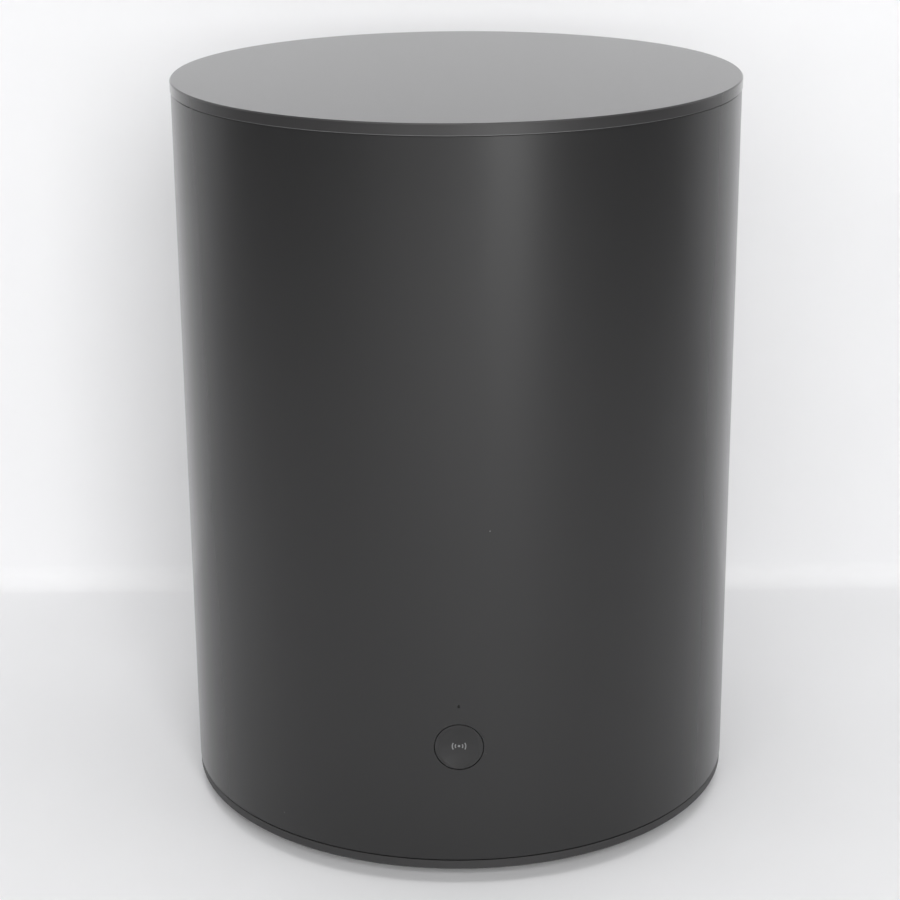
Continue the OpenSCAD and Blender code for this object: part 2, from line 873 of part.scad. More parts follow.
module network_contacts() {
    color("gold")
    for (i = [0 : 7]) translate([network_x + (i - 3.5) * 1.02, socket_y, 0])
        block([-0.2, 3.4, well_top + 3], [0.2, 4.4, well_top + 11.5]);
}

// Two-core lead from the mains inlet to the power board
module mains_lead() {
    color([0.75, 0.75, 0.75]) tube(mains_route, 1.5, 3);
}

module at_board_screws() {
    for (x = [-68, 68]) for (y = [12, 54]) translate([x, y, 0]) children();
    for (side = [-1, 1]) {
        translate([side * 43, -9, 0]) children();
        translate([side * 43, -49, 0]) children();
        translate([side * 77, -9, 0]) children();
        translate([side * 74, -49, 0]) children();
    }
}

module board_blank(low, high) {
    difference() {
        block([low[0], low[1], board_z], [high[0], high[1], board_z + board_t]);
        at_board_screws() rod(1.2, board_z - eps, board_z + board_t + eps);
    }
}

module amplifier_board() {
    color([0.05, 0.25, 0.12]) board_blank([-74, 6], [74, 60]);
}

module power_board() {
    color([0.55, 0.42, 0.2]) board_blank([-83, -54], [-38, -4]);
}

module logic_board() {
    color([0.05, 0.25, 0.12]) board_blank([38, -54], [83, -4]);
}

module board_screws() {
    color("silver") {
        at_board_screws() screw_down(board_z + board_t, 5, small_head_r, small_screw_r);
        at_well_screws() screw_down(base_z1 + 2, 4, 1.9, small_screw_r);
    }
}

module power_transformer() {
    color([0.75, 0.65, 0.2]) {
        difference() {
            block([-74, -40, part_z], [-48, -18, part_z + 16]);
            block([-75, -36, part_z + 4], [-47, -22, part_z + 12]);
        }
        translate([0, -29, part_z + 8]) rotate([0, 90, 0]) translate([0, 0, -71]) cylinder(r = 3.9, h = 20);
    }
}

module board_capacitors() {
    color([0.08, 0.08, 0.1]) {
        for (x = [-44, -30, 30, 44]) translate([x, 48, 0]) rod(6, part_z, part_z + 17);
        for (x = [-62, -50]) translate([x, -11, 0]) rod(5, part_z, part_z + 16);
    }
}

module amplifier_heatsink() {
    color([0.75, 0.75, 0.77]) {
        block([-34, 12, part_z], [34, 36, part_z + 3]);
        for (i = [0 : 11]) translate([-34 + i * 6, 0, 0])
            block([0, 12, part_z + 3 - eps], [2, 36, part_z + 15]);
    }
}

module logic_shield() {
    color([0.8, 0.8, 0.8])
    difference() {
        block([47, -46, part_z], [74, -16, part_z + 4]);
        block([47.4, -45.6, part_z - eps], [73.6, -16.4, part_z + 3.6]);
    }
}

// ---------- what is drawn ----------

cabinet_shell();
wall_ledges();
top_cap();
top_plate();
lid_gaskets();
wifi_antennas();
base_cover();
base_gasket();
base_screws();
foot_ring();
chamber_floor();
chamber_screws();
cable_grommets();
tunnel_liner();
tunnel_posts();
tunnel_gasket();
woofer_baffles();
left_basket();
right_basket();
left_surround();
right_surround();
left_cone();
right_cone();
left_dust_cap();
right_dust_cap();
left_voice_coil();
right_voice_coil();
left_spider();
right_spider();
pole_plates();
magnets();
yokes();
woofer_gaskets();
woofer_terminals();
woofer_screws();
woofer_leads();
button_cap();
button_seal();
button_housing();
tact_switch();
switch_plunger();
light_pipe();
status_led();
control_board();
control_screws();
socket_housing();
mains_inlet();
inlet_pins();
network_socket();
network_contacts();
power_board();
amplifier_board();
logic_board();
power_transformer();
board_capacitors();
amplifier_heatsink();
logic_shield();
mains_lead();
control_lead();
board_screws();
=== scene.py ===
"""Finish of a compact cylindrical subwoofer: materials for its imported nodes, and the soft, printed and
small pieces that go round them. Laid out as an add-on, run as a script."""

import json
import math

import bmesh
import bpy
from bpy.props import FloatProperty, FloatVectorProperty, IntProperty, PointerProperty
from mathutils import Matrix, Vector


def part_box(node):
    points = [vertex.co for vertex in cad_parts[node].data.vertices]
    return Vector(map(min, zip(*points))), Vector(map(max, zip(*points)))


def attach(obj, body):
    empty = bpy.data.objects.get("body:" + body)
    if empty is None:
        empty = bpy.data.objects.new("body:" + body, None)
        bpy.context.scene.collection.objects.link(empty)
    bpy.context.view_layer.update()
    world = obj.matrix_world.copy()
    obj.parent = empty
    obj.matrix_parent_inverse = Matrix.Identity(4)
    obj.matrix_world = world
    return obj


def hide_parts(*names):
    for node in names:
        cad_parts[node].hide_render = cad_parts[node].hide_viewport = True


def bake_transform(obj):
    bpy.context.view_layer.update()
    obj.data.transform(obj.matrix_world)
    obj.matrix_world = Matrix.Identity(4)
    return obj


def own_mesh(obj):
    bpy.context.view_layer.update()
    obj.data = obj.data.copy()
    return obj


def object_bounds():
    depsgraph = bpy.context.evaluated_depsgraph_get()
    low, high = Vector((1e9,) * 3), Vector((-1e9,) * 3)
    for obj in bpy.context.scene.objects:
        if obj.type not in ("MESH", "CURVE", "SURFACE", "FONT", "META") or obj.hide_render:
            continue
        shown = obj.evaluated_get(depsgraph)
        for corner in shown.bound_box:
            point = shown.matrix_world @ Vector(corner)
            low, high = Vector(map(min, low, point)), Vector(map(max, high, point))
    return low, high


bl_info = {
    "name": "Compact Subwoofer",
    "version": (1, 0, 0),
    "blender": (4, 5, 0),
    "location": "View3D > Sidebar > Subwoofer",
    "description": "Finishes a compact cylindrical subwoofer and sets its studio",
    "category": "Object",
}

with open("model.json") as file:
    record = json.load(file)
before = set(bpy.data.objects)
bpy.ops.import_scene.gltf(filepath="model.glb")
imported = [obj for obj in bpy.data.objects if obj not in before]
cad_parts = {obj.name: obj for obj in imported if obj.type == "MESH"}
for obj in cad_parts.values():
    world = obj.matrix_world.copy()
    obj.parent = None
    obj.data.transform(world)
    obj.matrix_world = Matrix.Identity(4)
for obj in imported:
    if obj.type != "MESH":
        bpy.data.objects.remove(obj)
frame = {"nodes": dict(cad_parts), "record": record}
CAD = frame["nodes"]
cad_low, cad_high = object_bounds()

MM = 0.001
SIDES = {"left": -1, "right": 1}
CABINET = "cabinet"


def middle(node):
    """Middle of a node's box."""
    low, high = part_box(node)
    return (low + high) / 2


AXIS_Z = middle("left_cone").z
BUTTON_Z = middle("button_cap").z
BOARD_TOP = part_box("amplifier_board")[1].z


# ---------- settings ----------


class SubwooferSizes(bpy.types.PropertyGroup):
    sign_width: FloatProperty(
        name="Sign width", description="Width of the pairing sign on the button",
        default=5.7 * MM, min=2 * MM, max=9 * MM, unit="LENGTH")
    sign_line: FloatProperty(
        name="Sign line", description="Thickness of the sign's lines",
        default=0.42 * MM, min=0.2 * MM, max=0.8 * MM, unit="LENGTH")
    roll_radius: FloatProperty(
        name="Roll radius", description="Radius of the surround's half roll, to the middle of its wall",
        default=5.2 * MM, min=4 * MM, max=5.4 * MM, unit="LENGTH")
    spider_waves: IntProperty(
        name="Spider waves", description="Corrugations across the spider", default=6, min=3, max=8)
    strand_radius: FloatProperty(
        name="Strand radius", description="Radius of one strand of a woofer lead",
        default=0.95 * MM, min=0.5 * MM, max=1 * MM, unit="LENGTH")
    turn_pitch: FloatProperty(
        name="Twist pitch", description="Length of one turn of a twisted lead",
        default=14 * MM, min=8 * MM, max=30 * MM, unit="LENGTH")


class SubwooferFinish(bpy.types.PropertyGroup):
    wall_colour: FloatVectorProperty(
        name="Wall", description="Matte black of the cabinet wall", subtype="COLOR",
        size=3, min=0, max=1, default=(0.0100, 0.0098, 0.0100))
    cap_colour: FloatVectorProperty(
        name="Cap", description="Matte black of the top cap", subtype="COLOR",
        size=3, min=0, max=1, default=(0.0200, 0.0193, 0.0196))
    sign_colour: FloatVectorProperty(
        name="Sign", description="Grey of the printed pairing sign", subtype="COLOR",
        size=3, min=0, max=1, default=(0.20, 0.20, 0.205))
    wall_roughness: FloatProperty(
        name="Wall roughness", description="Roughness of the matte wall",
        default=0.31, min=0.1, max=1, subtype="FACTOR")
    cap_roughness: FloatProperty(
        name="Cap roughness", description="Roughness of the matte cap",
        default=0.4, min=0.1, max=1, subtype="FACTOR")


class StageSettings(bpy.types.PropertyGroup):
    lens: FloatProperty(
        name="Lens", description="Focal length in millimetres on a 36 mm sensor",
        default=90.26, min=20, max=200)
    camera_place: FloatVectorProperty(
        name="Camera place", description="Where the camera stands", subtype="TRANSLATION", unit="LENGTH",
        size=3, default=(0.0036, -0.9115, 0.4505))
    camera_dip: FloatProperty(
        name="Dip", description="Angle of the camera below the horizon", subtype="ANGLE",
        default=math.radians(18.584))
    camera_turn: FloatProperty(
        name="Turn", description="Turn of the camera about the vertical", subtype="ANGLE",
        default=math.radians(0.451))
    camera_roll: FloatProperty(
        name="Roll", description="Turn of the camera about its own line of sight", subtype="ANGLE",
        default=math.radians(-0.42))
    wall_distance: FloatProperty(
        name="Backdrop distance", description="From the object's axis to the backdrop", unit="LENGTH",
        default=0.205, min=0.13, max=3)
    cloth_colour: FloatVectorProperty(
        name="Cloth", description="White of the studio cloth", subtype="COLOR",
        size=3, min=0, max=1, default=(0.86, 0.86, 0.87))
    sky: FloatProperty(name="Sky", description="Brightness all round", default=0.13, min=0, max=3)
    key_watts: FloatProperty(
        name="Key", description="Tall box to the front right that only shows in gloss", default=18.5,
        min=0, unit="POWER")
    even_watts: FloatProperty(
        name="Even", description="Box in front that only lights what is matte", default=16.5, min=0,
        unit="POWER")
    fill_watts: FloatProperty(
        name="Fill", description="Wide soft box to the front left", default=7, min=0, unit="POWER")
    low_watts: FloatProperty(
        name="Low", description="Small low box that only shows in gloss", default=0.95, min=0, unit="POWER")
    top_watts: FloatProperty(name="Top", description="Soft box overhead", default=4.6, min=0, unit="POWER")
    wash_watts: FloatProperty(
        name="Wash", description="Long box that washes the backdrop", default=1.8, min=0, unit="POWER")
    slot_watts: FloatProperty(
        name="Slot", description="Gridded box behind the body that looks into the slot", default=0.35, min=0,
        unit="POWER")
    base_watts: FloatProperty(
        name="Base", description="Small disc inside the foot ring that looks up at the sockets", default=0.2,
        min=0, unit="POWER")


# ---------- node groups ----------


def new_group(name, inputs, outputs):
    """A shader node group that takes a vector and named numbers, and gives named numbers."""
    tree = bpy.data.node_groups.new(name, "ShaderNodeTree")
    tree.interface.new_socket(name="Vector", in_out="INPUT", socket_type="NodeSocketVector")
    for label, value in inputs.items():
        socket = tree.interface.new_socket(name=label, in_out="INPUT", socket_type="NodeSocketFloat")
        socket.default_value = value
    for label in outputs:
        tree.interface.new_socket(name=label, in_out="OUTPUT", socket_type="NodeSocketFloat")
    return tree, tree.nodes.new("NodeGroupInput").outputs, tree.nodes.new("NodeGroupOutput").inputs


def add(tree, kind, **values):
    """A node with its settings and its unlinked inputs set by name."""
    node = tree.nodes.new(kind)
    for key, value in values.items():
        if hasattr(node, key):
            setattr(node, key, value)
        else:
            node.inputs[key.replace("_", " ")].default_value = value
    return node


def maths(tree, operation, first, second=None, third=None, clamp=False):
    """A Math node; each operand is a socket or a number. Returns its output."""
    node = tree.nodes.new("ShaderNodeMath")
    node.operation = operation
    node.use_clamp = clamp
    for slot, operand in enumerate((first, second, third)):
        if operand is None:
            continue
        if isinstance(operand, (int, float)):
            node.inputs[slot].default_value = operand
        else:
            tree.links.new(operand, node.inputs[slot])
    return node.outputs[0]


def span(tree, value, low, high, to_low=0.0, to_high=1.0):
    """A smooth step from one value range to another."""
    node = tree.nodes.new("ShaderNodeMapRange")
    node.interpolation_type = "SMOOTHSTEP"
    tree.links.new(value, node.inputs["Value"])
    for label, number in zip(("From Min", "From Max", "To Min", "To Max"), (low, high, to_low, to_high)):
        node.inputs[label].default_value = number
    return node.outputs["Result"]


def mix_colour(tree, factor, first, second):
    """Blends two colours; each is a socket or a colour of three numbers."""
    node = tree.nodes.new("ShaderNodeMix")
    node.data_type = "RGBA"
    tree.links.new(factor, node.inputs[0])
    for slot, operand in ((6, first), (7, second)):
        if hasattr(operand, "__len__"):
            node.inputs[slot].default_value = (*operand[:3], 1)
        else:
            tree.links.new(operand, node.inputs[slot])
    return node.outputs[2]


def coordinates(tree, scale=(1, 1, 1), turn=(0, 0, 0)):
    """Object coordinates in metres through a Mapping node."""
    source = tree.nodes.new("ShaderNodeTexCoord")
    mapping = tree.nodes.new("ShaderNodeMapping")
    mapping.inputs["Scale"].default_value = scale
    mapping.inputs["Rotation"].default_value = turn
    tree.links.new(source.outputs["Object"], mapping.inputs["Vector"])
    return mapping.outputs["Vector"]


def axes_of(tree, vector):
    """The three parts of a vector."""
    node = tree.nodes.new("ShaderNodeSeparateXYZ")
    tree.links.new(vector, node.inputs[0])
    return node.outputs


def distance_from(tree, first, second, first_middle, second_middle):
    """Distance of two coordinates from a middle."""
    squares = [maths(tree, "POWER", maths(tree, "SUBTRACT", value, centre), 2.0)
               for value, centre in ((first, first_middle), (second, second_middle))]
    return maths(tree, "SQRT", maths(tree, "ADD", *squares))


def noise(tree, vector, scale, detail=3.0, roughness=0.55):
    """Value of a noise texture; scale is a number or a socket, in features a metre."""
    node = add(tree, "ShaderNodeTexNoise", Detail=detail, Roughness=roughness)
    tree.links.new(vector, node.inputs["Vector"])
    if isinstance(scale, (int, float)):
        node.inputs["Scale"].default_value = scale
    else:
        tree.links.new(scale, node.inputs["Scale"])
    return node.outputs["Fac"]


def grain_group():
    """Fine grain of a moulded or coated surface, with slow changes of tone and polish."""
    tree, given, out = new_group(
        "Moulded Grain",
        {"Grain Scale": 2600.0, "Patch Scale": 18.0, "Tone Change": 0.08, "Roughness": 0.45,
         "Roughness Change": 0.06},
        ("Tone", "Roughness", "Height"))
    vector = given["Vector"]
    grain = noise(tree, vector, given["Grain Scale"], 2.0, 0.5)
    patch = noise(tree, vector, given["Patch Scale"], 4.0, 0.55)
    centred = maths(tree, "SUBTRACT", patch, 0.5)
    tone = maths(tree, "MULTIPLY_ADD", centred, given["Tone Change"], 1.0)
    speckle = maths(tree, "MULTIPLY_ADD", maths(tree, "SUBTRACT", grain, 0.5), 0.12, tone)
    rough = maths(tree, "MULTIPLY_ADD", centred, given["Roughness Change"], given["Roughness"])
    tree.links.new(speckle, out["Tone"])
    tree.links.new(rough, out["Roughness"])
    tree.links.new(grain, out["Height"])
    return tree


def speck_group():
    """A few stray specks of dust: a mask that is 1 on a speck."""
    tree, given, out = new_group(
        "Dust Specks", {"Cell Scale": 90.0, "Speck Size": 0.03, "Share": 0.06}, ("Mask",))
    cells = add(tree, "ShaderNodeTexVoronoi", feature="F1")
    tree.links.new(given["Vector"], cells.inputs["Vector"])
    tree.links.new(given["Cell Scale"], cells.inputs["Scale"])
    draw = add(tree, "ShaderNodeTexWhiteNoise", noise_dimensions="3D")
    tree.links.new(cells.outputs["Position"], draw.inputs["Vector"])
    near = maths(tree, "LESS_THAN", cells.outputs["Distance"], given["Speck Size"])
    chosen = maths(tree, "LESS_THAN", draw.outputs["Value"], given["Share"])
    tree.links.new(maths(tree, "MULTIPLY", near, chosen), out["Mask"])
    return tree


def turned_group():
    """Fine rings that a lathe leaves about the X axis through the woofers."""
    tree, given, out = new_group(
        "Turned Rings", {"Ring Scale": 2200.0, "Roughness": 0.3, "Roughness Change": 0.2},
        ("Roughness", "Height"))
    parts = axes_of(tree, given["Vector"])
    reach = distance_from(tree, parts[1], parts[2], 0, AXIS_Z)
    line = add(tree, "ShaderNodeTexNoise", noise_dimensions="1D", Detail=3.0)
    tree.links.new(maths(tree, "MULTIPLY", reach, given["Ring Scale"]), line.inputs["W"])
    line.inputs["Scale"].default_value = 1.0
    centred = maths(tree, "SUBTRACT", line.outputs["Fac"], 0.5)
    rough = maths(tree, "MULTIPLY_ADD", centred, given["Roughness Change"], given["Roughness"])
    tree.links.new(rough, out["Roughness"])
    tree.links.new(line.outputs["Fac"], out["Height"])
    return tree


def weave_group():
    """A plain weave on two directions of a vector in metres."""
    tree, given, out = new_group("Plain Weave", {"Threads": 1400.0}, ("Height", "Tone"))
    waves = []
    for part in axes_of(tree, given["Vector"])[1:]:
        threads = maths(tree, "MULTIPLY", part, given["Threads"])
        waves.append(maths(tree, "SINE", maths(tree, "MULTIPLY", threads, math.tau)))
    product = maths(tree, "MULTIPLY", *waves)
    height = maths(tree, "MULTIPLY_ADD", product, 0.5, 0.5)
    tree.links.new(height, out["Height"])
    tree.links.new(maths(tree, "MULTIPLY_ADD", product, 0.14, 0.93), out["Tone"])
    return tree


def board_group():
    """Lanes of copper track on X and Y, broken into runs, and small tinned holes."""
    tree, given, out = new_group("Board Tracks", {"Lanes": 520.0, "Runs": 95.0}, ("Track", "Hole"))
    parts = axes_of(tree, given["Vector"])
    masks = []
    for across, along in ((parts[0], parts[1]), (parts[1], parts[0])):
        lane = maths(tree, "MULTIPLY", across, given["Lanes"])
        run = maths(tree, "FLOOR", maths(tree, "MULTIPLY", along, given["Runs"]))
        cell = tree.nodes.new("ShaderNodeCombineXYZ")
        tree.links.new(maths(tree, "FLOOR", lane), cell.inputs[0])
        tree.links.new(run, cell.inputs[1])
        draw = add(tree, "ShaderNodeTexWhiteNoise", noise_dimensions="3D")
        tree.links.new(cell.outputs[0], draw.inputs["Vector"])
        used = maths(tree, "GREATER_THAN", draw.outputs["Value"], 0.62)
        copper = maths(tree, "LESS_THAN", maths(tree, "FRACT", lane), 0.45)
        masks.append(maths(tree, "MULTIPLY", used, copper))
    tree.links.new(maths(tree, "MAXIMUM", masks[0], masks[1]), out["Track"])
    cells = add(tree, "ShaderNodeTexVoronoi", Scale=230.0)
    tree.links.new(given["Vector"], cells.inputs["Vector"])
    tree.links.new(maths(tree, "LESS_THAN", cells.outputs["Distance"], 0.09), out["Hole"])
    return tree


GROUPS = {}


def build_groups():
    """Builds each group once."""
    GROUPS.update(grain=grain_group(), specks=speck_group(), turned=turned_group(), weave=weave_group(),
                  tracks=board_group())


# ---------- materials ----------


class Finish:
    """One material with its Principled shader, and short ways to feed it."""

    def __init__(self, name, colour, roughness, metallic=0.0, **sockets):
        self.material = bpy.data.materials.new(name)
        self.material.use_nodes = True
        self.material.diffuse_color = (*colour[:3], 1)
        self.tree = self.material.node_tree
        self.shader = self.tree.nodes["Principled BSDF"]
        self.colour = tuple(colour[:3])
        self.shader.inputs["Base Color"].default_value = (*self.colour, 1)
        self.shader.inputs["Roughness"].default_value = roughness
        self.shader.inputs["Metallic"].default_value = metallic
        for key, value in sockets.items():
            self.shader.inputs[key.replace("_", " ")].default_value = value

    def group(self, key, vector, **values):
        """Outputs of a group with its own values."""
        node = self.tree.nodes.new("ShaderNodeGroup")
        node.node_tree = GROUPS[key]
        self.tree.links.new(vector, node.inputs["Vector"])
        for label, value in values.items():
            node.inputs[label.replace("_", " ")].default_value = value
        return node.outputs

    def feed(self, socket, output):
        """Links an output to one of the shader's sockets."""
        self.tree.links.new(output, self.shader.inputs[socket])
        return self

    def toned(self, tone, colour=None):
        """The base colour times a tone that changes over the surface."""
        node = self.tree.nodes.new("ShaderNodeVectorMath")
        node.operation = "SCALE"
        if colour is None:
            node.inputs[0].default_value = self.colour
        else:
            self.tree.links.new(colour, node.inputs[0])
        self.tree.links.new(tone, node.inputs["Scale"])
        return node.outputs[0]

    def bump(self, height, strength, distance):
        """Links a height to the shader's normal."""
        node = add(self.tree, "ShaderNodeBump", Strength=strength, Distance=distance)
        self.tree.links.new(height, node.inputs["Height"])
        return self.feed("Normal", node.outputs["Normal"])


def moulded(name, colour, roughness, grain=2600.0, patch=18.0, tone=0.08, polish=0.06,
            strength=0.25, depth=0.02 * MM):
    """Moulded plastic: fine even grain and slow changes of tone."""
    made = Finish(name, colour, roughness)
    vector = coordinates(made.tree)
    grained = made.group("grain", vector, Grain_Scale=grain, Patch_Scale=patch, Tone_Change=tone,
                         Roughness=roughness, Roughness_Change=polish)
    made.feed("Base Color", made.toned(grained["Tone"]))
    made.feed("Roughness", grained["Roughness"])
    made.bump(grained["Height"], strength, depth)
    return made


def cabinet_coating(name, colour, roughness, grazing_share):
    """Matte coating with fine grain, handling marks and a few specks of dust, glossier at a low angle."""
    made = Finish(name, colour, roughness)
    tree = made.tree
    vector = coordinates(tree)
    grained = made.group("grain", vector, Grain_Scale=3200.0, Patch_Scale=9.0, Tone_Change=0.10,
                         Roughness=roughness, Roughness_Change=0.05)
    specks = made.group("specks", vector, Cell_Scale=70.0, Speck_Size=0.022, Share=0.05)
    colour_out = mix_colour(tree, maths(tree, "MULTIPLY", specks["Mask"], 0.55),
                            made.toned(grained["Tone"]), (0.22, 0.22, 0.22))
    made.feed("Base Color", colour_out)
    grazing = add(tree, "ShaderNodeLayerWeight", Blend=0.5).outputs["Facing"]
    share = span(tree, grazing, 0.45, 0.85, 1.0, grazing_share)
    made.feed("Roughness", maths(tree, "MULTIPLY", grained["Roughness"], share))
    made.bump(grained["Height"], 0.18, 0.015 * MM)
    return made


def soft_rubber(name, colour, roughness=0.7):
    """Rubber: dull, slightly bloomed, with a soft skin."""
    return moulded(name, colour, roughness, grain=1500.0, patch=45.0, tone=0.35, polish=0.18,
                   strength=0.3, depth=0.03 * MM)


def cell_foam(name, colour):
    """Closed-cell foam: small round pores."""
    made = Finish(name, colour, 0.9)
    tree = made.tree
    cells = add(tree, "ShaderNodeTexVoronoi", Scale=1300.0)
    tree.links.new(coordinates(tree), cells.inputs["Vector"])
    made.feed("Base Color", made.toned(span(tree, cells.outputs["Distance"], 0.1, 0.7, 0.6, 1.25)))
    made.bump(cells.outputs["Distance"], 0.6, 0.15 * MM)
    return made


def turned_metal(name, colour, roughness):
    """Metal turned on a lathe about the woofers' axis."""
    made = Finish(name, colour, roughness, 1.0)
    rings = made.group("turned", coordinates(made.tree), Roughness=roughness, Roughness_Change=0.25)
    tone = noise(made.tree, coordinates(made.tree), 60.0)
    made.feed("Base Color", made.toned(span(made.tree, tone, 0.2, 0.8, 0.85, 1.08)))
    made.feed("Roughness", rings["Roughness"])
    made.bump(rings["Height"], 0.3, 0.01 * MM)
    return made


def drawn_metal(name, colour, roughness, along=(1, 1, 1)):
    """Rolled, drawn or extruded metal: streaks squeezed by the scale along each axis."""
    made = Finish(name, colour, roughness, 1.0)
    tree = made.tree
    streaks = noise(tree, coordinates(tree, along), 900.0, 4.0)
    patches = noise(tree, coordinates(tree), 70.0, 3.0)
    made.feed("Base Color", made.toned(span(tree, patches, 0.2, 0.8, 0.82, 1.1)))
    made.feed("Roughness", span(tree, streaks, 0.25, 0.75, roughness - 0.1, roughness + 0.12))
    made.bump(streaks, 0.25, 0.01 * MM)
    return made


def lathe_plastic(name, colour, roughness):
    """Pressed plastic with the fine rings of its mould, as on a woofer's cone."""
    made = Finish(name, colour, roughness)
    vector = coordinates(made.tree)
    rings = made.group("turned", vector, Ring_Scale=1500.0, Roughness=roughness, Roughness_Change=0.16)
    grained = made.group("grain", vector, Grain_Scale=1900.0, Patch_Scale=35.0, Tone_Change=0.22,
                         Roughness=roughness, Roughness_Change=0.05)
    made.feed("Base Color", made.toned(grained["Tone"]))
    made.feed("Roughness", rings["Roughness"])
    made.bump(rings["Height"], 0.35, 0.03 * MM)
    return made


def ceramic_magnet(name, colour):
    """Pressed and ground ferrite: dark, dull and speckled."""
    made = Finish(name, colour, 0.72)
    tree = made.tree
    vector = coordinates(tree)
    speckle = noise(tree, vector, 2400.0, 2.0, 0.7)
    stain = noise(tree, vector, 90.0, 4.0)
    tone = maths(tree, "MULTIPLY", span(tree, speckle, 0.3, 0.7, 0.7, 1.35),
                 span(tree, stain, 0.3, 0.7, 0.85, 1.1))
    made.feed("Base Color", made.toned(tone))
    made.bump(speckle, 0.4, 0.03 * MM)
    return made


def copper_winding(name, film, copper):
    """Enamelled wire wound side by side on a brown film former."""
    made = Finish(name, film, 0.42)
    tree = made.tree
    along = axes_of(tree, coordinates(tree))[0]
    reach = maths(tree, "ABSOLUTE", along)
    low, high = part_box("right_voice_coil")
    past_start = maths(tree, "GREATER_THAN", reach, low.x + 13 * MM)
    wound = maths(tree, "MULTIPLY", past_start, maths(tree, "LESS_THAN", reach, high.x - 2 * MM))
    wire = maths(tree, "SINE", maths(tree, "MULTIPLY", along, math.tau / (0.32 * MM)))
    made.feed("Base Color", mix_colour(tree, wound, film, copper))
    made.feed("Metallic", maths(tree, "MULTIPLY", wound, 0.85))
    made.feed("Roughness", maths(tree, "MULTIPLY_ADD", wound, -0.14, 0.42))
    made.bump(maths(tree, "MULTIPLY", wire, wound), 0.7, 0.08 * MM)
    return made


def upright_winding(name, copper):
    """Enamelled wire wound round an upright core, with painted shade darkening the grooves between the turns.
    """
    made = Finish(name, copper, 0.28, 0.85)
    tree = made.tree
    up = axes_of(tree, coordinates(tree))[2]
    wire = maths(tree, "SINE", maths(tree, "MULTIPLY", up, math.tau / (0.6 * MM)))
    # Painted shade: the colour follows the wire's bump and darkens in the grooves between turns
    made.feed("Base Color", made.toned(span(tree, wire, -1.0, 1.0, 0.6, 1.1)))
    made.bump(wire, 0.8, 0.15 * MM)
    return made


def stiffened_cloth(name, colour):
    """Open weave soaked in resin, darker where the resin has pooled."""
    made = Finish(name, colour, 0.62)
    tree = made.tree
    vector = coordinates(tree)
    woven = made.group("weave", vector, Threads=1150.0)
    pooled = noise(tree, vector, 120.0, 3.0)
    tone = maths(tree, "MULTIPLY", woven["Tone"], span(tree, pooled, 0.3, 0.75, 1.1, 0.72))
    made.feed("Base Color", made.toned(tone))
    made.feed("Roughness", span(tree, pooled, 0.3, 0.75, 0.72, 0.38))
    made.bump(woven["Height"], 0.8, 0.12 * MM)
    return made


def circuit_board(name, mask, track, upright=False):
    """Lacquered circuit board: copper tracks show paler through the lacquer, with tinned holes."""
    made = Finish(name, mask, 0.34)
    tree = made.tree
    vector = coordinates(tree, turn=(math.pi / 2 if upright else 0, 0, 0))
    lanes = made.group("tracks", vector)
    painted = mix_colour(tree, lanes["Track"], mask, track)
    made.feed("Base Color", mix_colour(tree, lanes["Hole"], painted, (0.62, 0.61, 0.58)))
    made.feed("Metallic", lanes["Hole"])
    made.feed("Roughness", maths(tree, "MULTIPLY_ADD", lanes["Track"], -0.08, 0.38))
    made.bump(lanes["Track"], 0.5, 0.04 * MM)
    return made


def taped_core(name, core, tape):
    """Dark ferrite core with yellow tape round the winding that runs through it."""
    made = Finish(name, core, 0.6)
    tree = made.tree
    core_middle = middle("power_transformer")
    parts = axes_of(tree, coordinates(tree))
    off_core = distance_from(tree, parts[1], parts[2], core_middle.y, core_middle.z)
    taped = maths(tree, "LESS_THAN", off_core, 4 * MM)
    speckle = noise(tree, coordinates(tree), 2000.0)
    wraps = maths(tree, "SINE", maths(tree, "MULTIPLY", parts[0], math.tau / (5 * MM)))
    colour = mix_colour(tree, taped, core, tape)
    made.feed("Base Color", made.toned(span(tree, speckle, 0.3, 0.7, 0.82, 1.12), colour))
    made.feed("Roughness", maths(tree, "MULTIPLY_ADD", taped, -0.3, 0.62))
    made.bump(maths(tree, "MULTIPLY", wraps, taped), 0.25, 0.05 * MM)
    return made


def sleeved_capacitor(name, sleeve):
    """Shrink sleeve with a bare aluminium top."""
    made = Finish(name, sleeve, 0.28)
    tree = made.tree
    facing = axes_of(tree, tree.nodes.new("ShaderNodeTexCoord").outputs["Normal"])[2]
    bare = maths(tree, "GREATER_THAN", facing, 0.8)
    scuffs = noise(tree, coordinates(tree), 500.0)
    made.feed("Base Color", mix_colour(tree, bare, sleeve, (0.7, 0.71, 0.72)))
    made.feed("Metallic", bare)
    made.feed("Roughness", span(tree, scuffs, 0.3, 0.7, 0.22, 0.42))
    made.bump(scuffs, 0.15, 0.02 * MM)
    return made


def tagged_strip(name, strip, tags):
    """Paper board strip whose tags, at its lower end, are tinned brass."""
    made = Finish(name, strip, 0.7)
    tree = made.tree
    drop = maths(tree, "SUBTRACT", AXIS_Z, axes_of(tree, coordinates(tree))[2])
    metal = maths(tree, "GREATER_THAN", drop, AXIS_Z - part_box("woofer_terminals")[0].z - 6 * MM)
    fibres = noise(tree, coordinates(tree, (1, 0.2, 1)), 1600.0)
    colour = mix_colour(tree, metal, strip, tags)
    made.feed("Base Color", made.toned(span(tree, fibres, 0.3, 0.7, 0.8, 1.15), colour))
    made.feed("Metallic", metal)
    made.feed("Roughness", maths(tree, "MULTIPLY_ADD", metal, -0.4, 0.7))
    made.bump(fibres, 0.3, 0.03 * MM)
    return made


def clear_guide(name):
    """Clear acrylic with a slightly hazed skin."""
    made = Finish(name, (0.93, 0.94, 0.95), 0.12, Transmission_Weight=1.0, IOR=1.49)
    haze = noise(made.tree, coordinates(made.tree), 1800.0)
    made.feed("Roughness", span(made.tree, haze, 0.3, 0.7, 0.06, 0.22))
    return made


